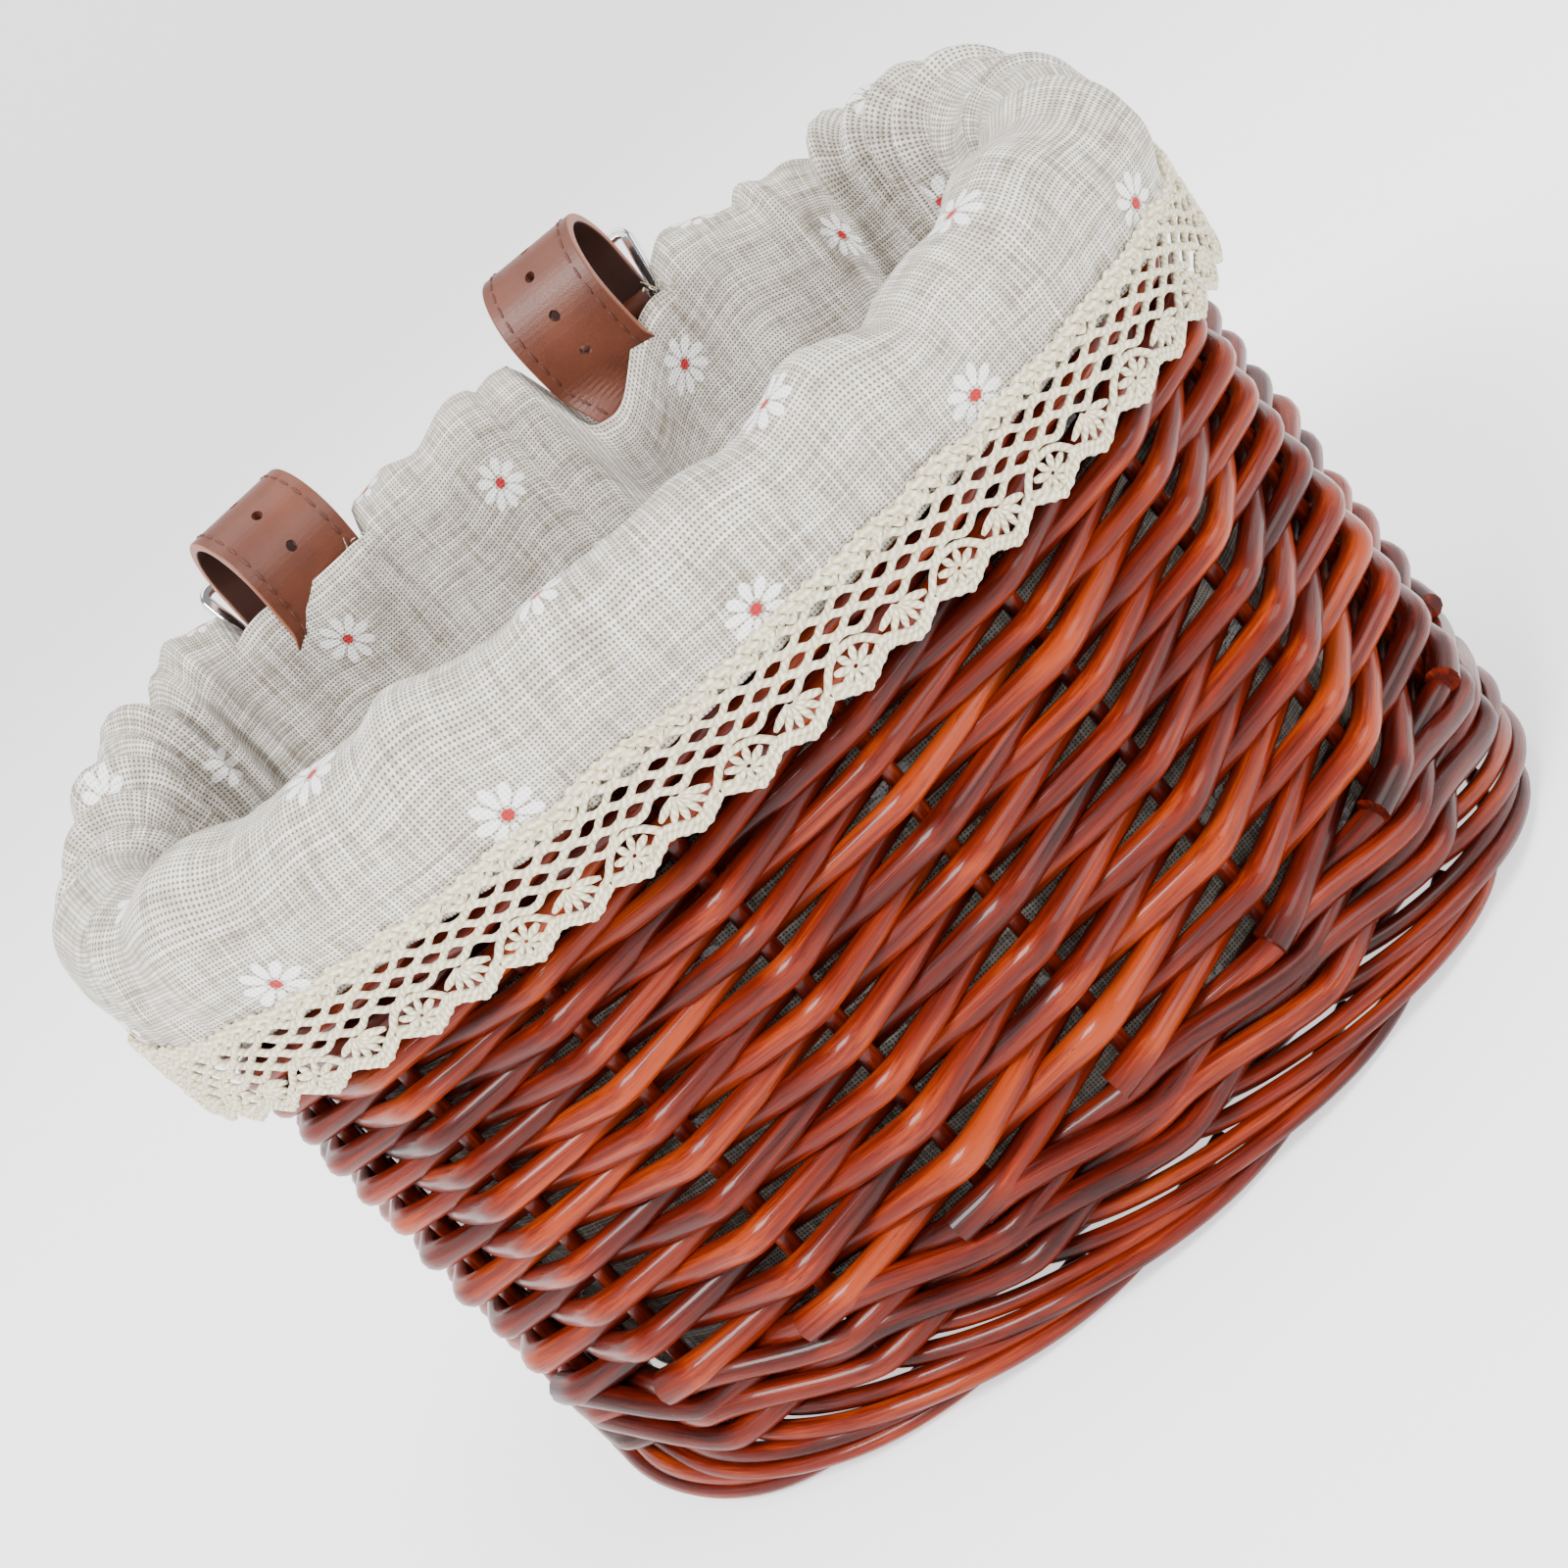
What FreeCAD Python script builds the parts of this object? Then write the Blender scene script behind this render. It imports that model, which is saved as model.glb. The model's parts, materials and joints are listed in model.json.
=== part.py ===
"""A lined wicker handlebar basket with two buckled straps, in millimetres.

+Z is up, the basket's curved front faces -Y, its flat back and the straps are at +Y, and
+X is to the right seen from the front. The basket stands on z = 0.
"""
import FreeCAD, Part
import math
import os
import PartDesign
import Sketcher

Vector = FreeCAD.Vector

# ---- driving dimensions ------------------------------------------------------------------
DIMENSIONS = {
    # plan of the stakes' centre line: a flat back, two back corners, bowed sides and front
    "half_width": 120.0,
    "plan_depth": 166.0,
    "back_wall": 79.2,
    "back_corner": 36.0,
    "front_corner": 72.0,
    # upright stakes
    "stake_width": 3.8,
    "stake_foot": 16.2,
    "stake_tip": 158.0,
    "front_stake": 12.0,
    "strap_bay": 37.0,
    "side_bays": 8.0,
    # side weave: each rod starts at its own stake and climbs one rise per stake
    "weaver_width": 3.9,
    "weaver_foot": 34.5,
    "weaver_rise": 4.45,
    "weaver_steps": 24.0,
    "weave_gap": 0.75,
    "rod_bend": 10.0,
    "butt_length": 7.0,
    # bottom band of three twined rods
    "wale_width": 4.0,
    "wale_middle": 24.6,
    # looped border that the basket stands on
    "foot_width": 3.8,
    "foot_start": 13.4,
    "foot_sag": 0.3,
    "foot_middle": 8.0,
    "foot_end": 5.4,
    "foot_out": 5.4,
    "foot_out_low": 3.0,
    "foot_in": 4.4,
    # base
    "base_level": 12.0,
    "hoop_width": 5.0,
    "hoop_inset": 8.0,
    "stick_width": 5.0,
    "stick_count": 7.0,
    "stick_pitch": 27.0,
    "base_rod_width": 3.8,
    "base_rod_pitch": 6.4,
    "end_gap": 2.0,
    # rim
    "rim_axis": 160.0,
    "rim_width": 4.0,
    "rim_low": 3.0,
    "rim_high": 3.3,
    "rim_spread": 2.3,
    # cloth liner
    "cloth": 1.2,
    "fold_radius": 12.2,
    "fold_axis": 158.0,
    "floor_level": 20.4,
    "cuff_hem": 140.0,
    "elastic_height": 6.0,
    "elastic_thickness": 1.0,
    "lace_low": 124.0,
    "lace_high": 142.5,
    "lace_thickness": 1.2,
    "slot_width": 36.0,
    "slot_inner_depth": 3.0,
    "slot_outer_depth": 13.0,
    # straps
    "left_strap": -57.0,
    "right_strap": 31.0,
    "strap_width": 26.0,
    "leather": 2.4,
    "bend_radius": 9.0,
    "bar_radius": 13.0,
    "loop_top": 200.0,
    "strap_twist": 20.0,
    "twist_height": 12.0,
    "tip_drop": 2.0,
    "strap_straight": 1.5,
    "layer_gap": 0.7,
    "hole_width": 3.2,
    "hole_pitch": 10.0,
    "hole_count": 6.0,
    "slot_low": -1.0,
    "slot_high": 10.5,
    # buckles
    "pin_level": 13.0,
    "pin_width": 2.6,
    "sleeve_wall": 1.4,
    "frame_thickness": 3.0,
    "frame_side": 3.0,
    "frame_reach": 17.3,
    "frame_lean": 32.5,
    "frame_corner": 4.0,
    "frame_round": 0.9,
    "fit_gap": 0.3,
    "prong_width": 2.0,
    "prong_lean": 42.4,
    "prong_length": 18.6,
    "eye_width": 4.0,
    "eye_wall": 1.1,
    "pin_play": 0.1,
    "keeper_height": 6.0,
    "keeper_level": 3.0,
    "keeper_wall": 1.4,
}

doc = FreeCAD.newDocument("handlebar_basket")
sheet = doc.addObject("Spreadsheet::Sheet", "Dimensions")
for row, (name, value) in enumerate(DIMENSIONS.items(), start=1):
    sheet.set(f"A{row}", name)
    sheet.set(f"B{row}", str(value))
    sheet.setAlias(f"B{row}", name)
doc.recompute()


def dim(name):
    """A driving dimension, read back from the sheet."""
    return float(sheet.get(name))


# ---- plan curve --------------------------------------------------------------------------
# Headings, in degrees, at which one stretch of the half plan passes into the next.
SIDE_START = 78.0
SIDE_END = 102.0
FRONT_START = 156.0


def plan_stretches():
    """The left half of the plan from the middle of the back: (length, radius) pairs.

    The side's and the front's radii follow from the width and the depth.
    """
    sin_1 = math.sin(math.radians(SIDE_START))
    cos_1 = math.cos(math.radians(SIDE_START))
    sin_3 = math.sin(math.radians(FRONT_START))
    cos_3 = math.cos(math.radians(FRONT_START))
    back, front = dim("back_corner"), dim("front_corner")
    bow = (1 + cos_3) / sin_3
    corners = back * (1 - cos_1) + front * (-cos_1 - cos_3)
    reach = dim("half_width") + front * (sin_3 - sin_1)
    side = (dim("plan_depth") - corners - bow * reach) / (2 * cos_1 - bow * (1 - sin_1))
    nose = (reach - side * (1 - sin_1)) / sin_3
    flat = dim("half_width") - back * sin_1 - side * (1 - sin_1)
    turns = [SIDE_START, SIDE_END - SIDE_START, FRONT_START - SIDE_END, 180 - FRONT_START]
    arcs = [(radius * math.radians(turn), radius)
            for radius, turn in zip([back, side, front, nose], turns)]
    return [(flat, None)] + arcs


HALF = plan_stretches()
PLAN = HALF + HALF[::-1]
GIRTH = sum(length for length, radius in PLAN)


def plan_frames():
    """Where each stretch of the plan starts: distance, length, radius, point and heading."""
    frames = []
    distance, point, heading = 0.0, Vector(0, dim("back_wall"), 0), math.pi
    for length, radius in PLAN:
        frames.append((distance, length, radius, point, heading))
        if radius is None:
            step = Vector(math.cos(heading), math.sin(heading), 0) * length
            point = point + step
        else:
            left = Vector(-math.sin(heading), math.cos(heading), 0)
            centre = point + left * radius
            heading = heading + length / radius
            point = centre - Vector(-math.sin(heading), math.cos(heading), 0) * radius
        distance += length
    return frames


FRAMES = plan_frames()


def plan_point(distance, offset=0.0, height=0.0):
    """The point at a distance round the plan, moved outwards by offset.

    The distance starts at the middle of the back and grows past the left side, the front
    and the right side.
    """
    distance = distance % GIRTH
    start, length, radius, point, heading = [f for f in FRAMES if f[0] <= distance + 1e-9][-1]
    along = distance - start
    if radius is None:
        point = point + Vector(math.cos(heading), math.sin(heading), 0) * along
    else:
        centre = point + Vector(-math.sin(heading), math.cos(heading), 0) * radius
        heading = heading + along / radius
        point = centre - Vector(-math.sin(heading), math.cos(heading), 0) * radius
    outwards = Vector(math.sin(heading), -math.cos(heading), 0)
    return point + outwards * offset + Vector(0, 0, height)


def plan_wire(offset, height):
    """A closed wire round the plan, moved outwards by offset."""
    edges = []
    for start, length, radius, point, heading in FRAMES:
        first = plan_point(start, offset, height)
        last = plan_point(start + length, offset, height)
        if radius is None:
            edges.append(Part.LineSegment(first, last).toShape())
        else:
            middle = plan_point(start + length / 2, offset, height)
            edges.append(Part.Arc(first, middle, last).toShape())
    return Part.Wire(Part.__sortEdges__(edges))


# ---- stakes' places ----------------------------------------------------------------------
def stake_stations():
    """Distances round the plan at which the stakes stand.

    Each strap passes between two stakes of the back, and one stake stands at front_stake.
    The rest are evenly spaced between those.
    """
    bay = dim("strap_bay") / 2
    left = [-dim("left_strap") + bay, -dim("left_strap") - bay]
    right = [-dim("right_strap") + bay, -dim("right_strap") - bay]
    front = GIRTH / 2 + dim("front_stake")
    bays = round(dim("side_bays"))
    last = GIRTH + right[1]
    stations = [left[1]]
    stations += [left[0] + (front - left[0]) * i / bays for i in range(bays)]
    stations += [front + (last - front) * i / bays for i in range(bays + 1)]
    stations += [GIRTH + right[0]]
    return stations


STATIONS = stake_stations()
COUNT = len(STATIONS)


def station(number):
    """The station of a stake, counted past the start as often as needed."""
    return STATIONS[number % COUNT] + GIRTH * (number // COUNT)


# ---- rods --------------------------------------------------------------------------------
# A bend takes up at most this share of each straight run beside it.
BEND_SHARE = 0.45


def add_part(label, shape):
    """Add a finished shape as a part of the document."""
    part = doc.addObject("Part::Feature", label)
    part.Label = label
    part.Shape = shape
    part.Placement = FreeCAD.Placement()
    return part


def bend_reach(before, corner, after):
    """How far along both runs the arc at a corner starts."""
    shorter = min((corner - before).Length, (after - corner).Length)
    return min(dim("rod_bend"), BEND_SHARE * shorter)


def apex_drop(before, corner, after):
    """How far inside its corner the rounded bend passes."""
    turn = (corner - before).getAngle(after - corner)
    return bend_reach(before, corner, after) * math.tan(turn / 4)


def rounded_path(points):
    """Straight runs joined by tangent arcs, as one wire."""
    edges = []
    here = points[0]
    for before, corner, after in zip(points, points[1:], points[2:]):
        incoming = (corner - before).normalize()
        outgoing = (after - corner).normalize()
        if incoming.getAngle(outgoing) < 1e-4:
            continue
        reach = bend_reach(before, corner, after)
        start = corner - incoming * reach
        end = corner + outgoing * reach
        towards = (outgoing - incoming).normalize()
        middle = corner + towards * apex_drop(before, corner, after)
        edges.append(Part.LineSegment(here, start).toShape())
        edges.append(Part.Arc(start, middle, end).toShape())
        here = end
    edges.append(Part.LineSegment(here, points[-1]).toShape())
    return Part.Wire(edges)


def rod(points, width):
    """A round rod of one width along straight runs and tangent arcs."""
    path = rounded_path(points)
    direction = (points[1] - points[0]).normalize()
    section = Part.Wire(Part.makeCircle(width / 2, points[0], direction))
    solid = path.makePipeShell([section], True, False)
    expected = path.Length * math.pi * width * width / 4
    if abs(solid.Volume - expected) > 0.01 * expected:
        raise ValueError(f"rod volume {solid.Volume:.0f} is not {expected:.0f}")
    return solid


def woven_points(first, offsets, heights):
    """Corners of a rod that passes stakes first, first + 1, ... at the given offsets.

    A bend is rounded inside its corner, so each corner stands further out or in than the
    offset that the bend itself has to reach.
    """
    corners = list(offsets)
    for _ in range(12):
        points = [plan_point(station(first + i), corners[i], heights[i])
                  for i in range(len(corners))]
        for i in range(1, len(corners) - 1):
            drop = apex_drop(points[i - 1], points[i], points[i + 1])
            centre = plan_point(station(first + i), 0, heights[i])
            bend = (points[i + 1] - points[i]).normalize() - (points[i] - points[i - 1]).normalize()
            inwards = centre - plan_point(station(first + i), 1, heights[i])
            if bend.Length < 1e-6:
                continue
            corners[i] = offsets[i] + drop * bend.normalize().dot(inwards)
    return [plan_point(station(first + i), corners[i], heights[i]) for i in range(len(corners))]


def stakes():
    """All the uprights, one solid each."""
    radius = dim("stake_width") / 2
    length = dim("stake_tip") - dim("stake_foot")
    return Part.makeCompound([
        Part.makeCylinder(radius, length, plan_point(place, 0, dim("stake_foot")))
        for place in STATIONS])


def weaver(first):
    """One rod of the side weave, from its butt beside stake `first` to its tip."""
    pass_by = (dim("stake_width") + dim("weaver_width")) / 2 + dim("weave_gap")
    steps = round(dim("weaver_steps"))
    offsets = [pass_by if i % 2 == 0 else -pass_by for i in range(steps + 1)]
    heights = [dim("weaver_foot") + dim("weaver_rise") * i for i in range(steps + 1)]
    points = woven_points(first, offsets, heights)
    butt = dim("butt_length")
    points[0] = points[0] + (points[0] - points[1]).normalize() * butt
    points[-1] = points[-1] + (points[-1] - points[-2]).normalize() * butt
    return rod(points, dim("weaver_width"))


def wale(strand):
    """One of three twined rods: in front of two stakes, behind the next."""
    pass_by = (dim("stake_width") + dim("wale_width")) / 2 + dim("weave_gap")
    lift = dim("wale_width") + dim("weave_gap")
    pattern = [(pass_by, lift), (pass_by, -lift), (-pass_by, 0)]
    steps = [pattern[(i + strand) % 3] for i in range(COUNT // 3 * 3 + 1)]
    offsets = [offset for offset, rise in steps]
    heights = [dim("wale_middle") + rise for offset, rise in steps]
    return rod(woven_points(0, offsets, heights), dim("wale_width"))


def foot_loops():
    """The border under the basket: each stake's end runs on past three stakes.

    It leaves its own stake, swings out round the next, sags to the ground at the third and
    turns in behind the last.
    """
    lowest = dim("foot_width") / 2 - dim("foot_sag")
    offsets = [0.0, dim("foot_out"), dim("foot_out_low"), -dim("foot_in")]
    heights = [dim("foot_start"), dim("foot_middle"), lowest, dim("foot_end")]
    return Part.makeCompound([
        rod(woven_points(first, offsets, heights), dim("foot_width"))
        for first in range(COUNT)])


def hoop(offset, height, width):
    """A closed round rod that follows the plan."""
    path = plan_wire(offset, height)
    start = plan_point(0, offset, height)
    section = Part.Wire(Part.makeCircle(width / 2, start, Vector(1, 0, 0)))
    return path.makePipeShell([section], True, True)


def band(outer, inner, low, high):
    """An upright band between two offsets of the plan."""
    face = Part.makeFace([plan_wire(outer, low), plan_wire(inner, low)],
                         "Part::FaceMakerBullseye")
    return face.extrude(Vector(0, 0, high - low))


def plate(offset, low, high):
    """A flat panel that fills the plan up to an offset."""
    return Part.Face(plan_wire(offset, low)).extrude(Vector(0, 0, high - low))


# ---- the woven parts ---------------------------------------------------------------------
def crossings(axis, level, inset):
    """Where the plan, moved inwards, crosses a line at a level of x or y: lowest, highest."""
    steps = 720
    edge = [plan_point(GIRTH * i / steps, -inset) for i in range(steps)]
    found = []
    for point, following in zip(edge, edge[1:] + edge[:1]):
        here, there = point[axis] - level, following[axis] - level
        if here * there <= 0 and here != there:
            share = here / (here - there)
            found.append(point[1 - axis] + share * (following[1 - axis] - point[1 - axis]))
    return min(found), max(found)


def stick_places():
    """Where the base's sticks lie across the basket."""
    count = round(dim("stick_count"))
    return [(i - (count - 1) / 2) * dim("stick_pitch") for i in range(count)]


def base_sticks():
    """The straight sticks of the base, front to back, inside the hoop."""
    radius = dim("stick_width") / 2
    inset = dim("hoop_inset") + dim("hoop_width") / 2 + dim("weave_gap") + dim("end_gap")
    solids = []
    for across in stick_places():
        low, high = crossings(0, across, inset)
        start = Vector(across, low, dim("base_level"))
        solids.append(Part.makeCylinder(radius, high - low, start, Vector(0, 1, 0)))
    return Part.makeCompound(solids)


def base_rod(row, level, left, right):
    """One rod of the base, over and under the sticks that it can reach, or None.

    A row that ends just past a stick stops short of it.
    """
    pitch = dim("stick_pitch")
    pass_by = (dim("stick_width") + dim("base_rod_width")) / 2 + dim("weave_gap")
    clear = dim("stick_width") / 2 + dim("end_gap")
    kept = [(i, x) for i, x in enumerate(stick_places())
            if left + pitch / 3 < x < right - pitch / 3]
    if len(kept) < 2:
        return None
    start = max(left, kept[0][1] - pitch + clear)
    end = min(right, kept[-1][1] + pitch - clear)
    first = Vector(start, level, dim("base_level"))
    last = Vector(end, level, dim("base_level"))
    corner = pass_by
    for _ in range(12):
        points = [Vector(x, level, dim("base_level") + corner * (-1) ** (i + row))
                  for i, x in kept]
        run = [first] + points + [last]
        corner = pass_by + max(apex_drop(*run[i - 1:i + 2]) for i in range(1, len(run) - 1))
    return rod(run, dim("base_rod_width"))


def base_weave():
    """The rods woven over and under the base's sticks, side to side."""
    pitch = dim("base_rod_pitch")
    inset = dim("hoop_inset") + (dim("hoop_width") + dim("base_rod_width")) / 2 + dim("end_gap")
    front, back = crossings(0, 0.0, inset)
    rows = int((back - front) / pitch)
    margin = (back - front - rows * pitch) / 2
    solids = []
    for row in range(rows + 1):
        level = front + margin + row * pitch
        solid = base_rod(row, level, *crossings(1, level, inset))
        if solid is not None:
            solids.append(solid)
    return Part.makeCompound(solids)


PARTS = [add_part("wall_stakes", stakes())]
for number in range(COUNT):
    PARTS.append(add_part(f"weaver_{number + 1:02d}", weaver(number)))
for number in range(3):
    PARTS.append(add_part(f"wale_rod_{number + 1}", wale(number)))
PARTS.append(add_part("foot_border", foot_loops()))
PARTS.append(add_part("base_hoop", hoop(-dim("hoop_inset"), dim("base_level"), dim("hoop_width"))))
PARTS.append(add_part("base_sticks", base_sticks()))
PARTS.append(add_part("base_weave", base_weave()))

# The rim border: two rods hug the stakes below the rim axis and two close over them.
RIM_HUG = (dim("stake_width") + dim("rim_width")) / 2 + dim("weave_gap") / 2
RIM_RODS = {
    "rim_rod_outer": (RIM_HUG, -dim("rim_low")),
    "rim_rod_inner": (-RIM_HUG, -dim("rim_low")),
    "rim_rod_top_outer": (dim("rim_spread"), dim("rim_high")),
    "rim_rod_top_inner": (-dim("rim_spread"), dim("rim_high")),
}
for name, (offset, rise) in RIM_RODS.items():
    PARTS.append(add_part(name, hoop(offset, dim("rim_axis") + rise, dim("rim_width"))))


# ---- cloth parts -------------------------------------------------------------------------
def liner_cuff():
    """The liner's fold over the rim and the cuff outside, as one bent sheet."""
    inner, outer = dim("fold_radius"), dim("fold_radius") + dim("cloth")
    axis = dim("fold_axis")
    hem = dim("cuff_hem")
    place = plan_point(0)

    def at(offset, height):
        return place + Vector(0, offset, height)

    edges = [
        Part.Arc(at(-outer, axis), at(0, axis + outer), at(outer, axis)),
        Part.LineSegment(at(outer, axis), at(outer, hem)),
        Part.LineSegment(at(outer, hem), at(inner, hem)),
        Part.LineSegment(at(inner, hem), at(inner, axis)),
        Part.Arc(at(inner, axis), at(0, axis + inner), at(-inner, axis)),
        Part.LineSegment(at(-inner, axis), at(-outer, axis)),
    ]
    section = Part.Wire([edge.toShape() for edge in edges])
    return plan_wire(0, 0).makePipeShell([section], True, True)


def with_slots(cloth):
    """Cloth with the room for both straps cut out."""
    return cloth.cut(Part.makeCompound([slot(x) for x in STRAP_PLACES.values()]))


STRAP_PLACES = {"left": dim("left_strap"), "right": dim("right_strap")}


def slot(across):
    """The room that a strap takes as it comes out through the fold."""
    width = dim("slot_width")
    back = dim("back_wall")
    reach = dim("fold_radius") + 2 * dim("cloth")
    inner_low = dim("rim_axis") - dim("slot_inner_depth")
    outer_low = dim("rim_axis") - dim("slot_outer_depth")
    top = dim("fold_axis") + reach
    inner = Part.makeBox(width, reach, top - inner_low,
                         Vector(across - width / 2, back - reach, inner_low))
    outer = Part.makeBox(width, reach, top - outer_low,
                         Vector(across - width / 2, back, outer_low))
    return inner.fuse(outer)


CUFF = dim("fold_radius") + dim("cloth")
HEM = dim("cuff_hem")
PARTS.append(add_part("liner_wall", with_slots(band(
    -dim("fold_radius"), -CUFF, dim("floor_level") + dim("cloth"), dim("fold_axis")))))
PARTS.append(add_part("liner_cuff", with_slots(liner_cuff())))
PARTS.append(add_part("liner_floor", plate(-dim("fold_radius"), dim("floor_level"),
                                           dim("floor_level") + dim("cloth"))))
PARTS.append(add_part("cuff_elastic", band(
    dim("fold_radius"), dim("fold_radius") - dim("elastic_thickness"),
    HEM, HEM + dim("elastic_height"))))
PARTS.append(add_part("lace_trim", band(
    CUFF + dim("lace_thickness"), CUFF, dim("lace_low"), dim("lace_high"))))


# ---- straps ------------------------------------------------------------------------------
# Strap coordinates: `across` the strap, `out` backwards from the rim axis, `up` from it.
BEND = dim("bend_radius") + dim("leather") / 2
ARCH = dim("bar_radius") + dim("leather") / 2
ARCH_LEVEL = dim("loop_top") - dim("rim_axis") - dim("leather") - dim("bar_radius")
PIN = dim("pin_level")
SLEEVE = dim("pin_width") / 2 + dim("sleeve_wall")
LAYER = dim("leather") + dim("layer_gap")


def ease(share):
    """A smooth step from 0 to 1."""
    share = max(0.0, min(1.0, share))
    return share * share * (3 - 2 * share)


def turned(side):
    """The strap's full twist: the loops face outwards."""
    return dim("strap_twist") if side == "left" else -dim("strap_twist")


def strap_frame(side, up):
    """The placement of strap coordinates at a height above the rim axis."""
    twist = turned(side) * ease(up / dim("twist_height"))
    place = Vector(STRAP_PLACES[side], dim("back_wall"), dim("rim_axis"))
    return FreeCAD.Placement(place, FreeCAD.Rotation(Vector(0, 0, 1), twist))


def buckle_route():
    """The strap's centre line from the buckle's sleeve down to the bend round the rim."""
    return [(BEND, PIN - PIN * i / 6) for i in range(7)]


def loop_route():
    """The strap's centre line from the bend, over the loop and down to the tip."""
    lean = ARCH - BEND
    straight = dim("strap_straight")
    rise = ARCH_LEVEL - straight
    route = [(-BEND, 0.0), (-BEND, straight)]
    route += [(-BEND - lean * ease(i / 10), straight + rise * i / 10) for i in range(1, 10)]
    route += [(ARCH * math.cos(math.radians(a)), ARCH_LEVEL + ARCH * math.sin(math.radians(a)))
              for a in [180 - 7.5 * i for i in range(25)]]
    pass_pin = BEND + SLEEVE + dim("layer_gap") / 2 + dim("leather") / 2
    top_run = ARCH_LEVEL - PIN
    route += [(ARCH + (pass_pin - ARCH) * ease(i / 4), ARCH_LEVEL - top_run * i / 4)
              for i in range(1, 5)]
    keeper_top = dim("keeper_level") + dim("keeper_height")
    lay = BEND + LAYER
    route += [(pass_pin + (lay - pass_pin) * ease(i / 3), PIN - (PIN - keeper_top) * i / 3)
              for i in range(1, 4)]
    end = -dim("tip_drop")
    route += [(lay, keeper_top + (end - keeper_top) * i / 4) for i in range(1, 5)]
    return route


def cross_section(side, centre, normal, half_width, half_depth):
    """A rectangle across the strap at a point of its centre line."""
    corners = []
    for across, depth in [(-1, -1), (1, -1), (1, 1), (-1, 1)]:
        out = centre[0] + normal[0] * half_depth * depth
        up = centre[1] + normal[1] * half_depth * depth
        frame = strap_frame(side, centre[1])
        corners.append(frame.multVec(Vector(half_width * across, out, up)))
    return Part.makePolygon(corners + corners[:1])


def strip(side, route):
    """A length of the leather strip along part of its route."""
    sections = []
    for i, here in enumerate(route):
        before = route[max(0, i - 1)]
        after = route[min(len(route) - 1, i + 1)]
        run = Vector(after[0] - before[0], after[1] - before[1], 0).normalize()
        sections.append(cross_section(side, here, (-run.y, run.x), dim("strap_width") / 2,
                                      dim("leather") / 2))
    return Part.makeLoft(sections, True, True)


def strap_bend(side):
    """The half ring of leather under the rim, round the axis that the strap swings on."""
    width = dim("strap_width")
    start = Vector(-width / 2, 0, 0)
    along = Vector(1, 0, 0)
    outer = Part.makeCylinder(BEND + dim("leather") / 2, width, start, along)
    inner = Part.makeCylinder(BEND - dim("leather") / 2, width, start, along)
    below = Part.makeBox(width, 2 * width, width, Vector(-width / 2, -width, -width))
    ring = outer.cut(inner).common(below)
    ring.Placement = strap_frame(side, 0.0)
    return ring


def strap_band(side):
    """The leather strip along its route, twisted from the rim up to the loop."""
    return strip(side, buckle_route()).fuse([strap_bend(side), strip(side, loop_route())])


def strap_tool(side, shape):
    """Place a shape made in strap coordinates into the loop's full twist."""
    shape.Placement = strap_frame(side, dim("twist_height"))
    return shape


def punched_holes(side):
    """Round holes down the middle of the strap, counted from the prong's hole."""
    reach = 2 * dim("leather")
    tools = []
    first = PIN + (dim("slot_low") + dim("slot_high")) / 2
    for number in range(1, round(dim("hole_count")) + 1):
        along = dim("hole_pitch") * number - (ARCH_LEVEL - first)
        angle = along / ARCH
        if angle < math.pi:
            middle = Vector(0, ARCH * math.cos(angle), ARCH_LEVEL + ARCH * math.sin(angle))
            normal = Vector(0, math.cos(angle), math.sin(angle))
        else:
            down = ARCH_LEVEL - (along - ARCH * math.pi)
            middle = Vector(0, -BEND - (ARCH - BEND) * ease(down / ARCH_LEVEL), down)
            normal = Vector(0, -1, 0)
        tools.append(Part.makeCylinder(dim("hole_width") / 2, 2 * reach,
                                       middle - normal * reach, normal))
    return [strap_tool(side, tool) for tool in tools]


def strap(side):
    """One strap: the band with its buckle sleeve, prong slot and punched holes."""
    width = dim("strap_width")
    pin = Vector(-width / 2, BEND, PIN)
    sleeve = strap_tool(side, Part.makeCylinder(SLEEVE, width, pin, Vector(1, 0, 0)))
    body = strap_band(side).fuse(sleeve)
    bore = Part.makeCylinder(dim("pin_width") / 2 + dim("pin_play"), 2 * width,
                             pin - Vector(width / 2, 0, 0), Vector(1, 0, 0))
    notch_width = dim("eye_width") + 2 * dim("fit_gap")
    reach = SLEEVE + 2 * dim("fit_gap")
    notch = Part.makeBox(notch_width, 2 * SLEEVE + dim("fit_gap"), 2 * reach,
                         Vector(-notch_width / 2, BEND - SLEEVE - dim("fit_gap"), PIN - reach))
    prong_slot = Part.makeBox(
        dim("hole_width"), 3 * dim("leather"), dim("slot_high") - dim("slot_low"),
        Vector(-dim("hole_width") / 2, ARCH - 1.5 * dim("leather"), PIN + dim("slot_low")))
    bar_space = Part.makeCylinder(dim("bar_radius"), 2 * width,
                                  Vector(-width, 0, ARCH_LEVEL), Vector(1, 0, 0))
    tools = [strap_tool(side, tool) for tool in (bore, notch, prong_slot, bar_space)]
    return body.cut(tools + punched_holes(side))


def keeper(side):
    """The sewn leather ring that holds the strap's tip against the strap."""
    gap = dim("fit_gap")
    wall = dim("keeper_wall")
    low, tall = dim("keeper_level"), dim("keeper_height")
    middle = BEND + LAYER / 2
    half_width = dim("strap_width") / 2 + gap
    half_depth = (LAYER + dim("leather")) / 2 + gap
    shells = []
    for grow in (wall, 0.0):
        sections = [
            cross_section(side, (middle, low + tall * i / 4), (1, 0), half_width + grow,
                          half_depth + grow)
            for i in range(5)]
        shells.append(Part.makeLoft(sections, True, True))
    return shells[0].cut(shells[1])


for side in STRAP_PLACES:
    PARTS.append(add_part(f"{side}_strap", strap(side)))
    PARTS.append(add_part(f"{side}_strap_keeper", keeper(side)))


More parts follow.
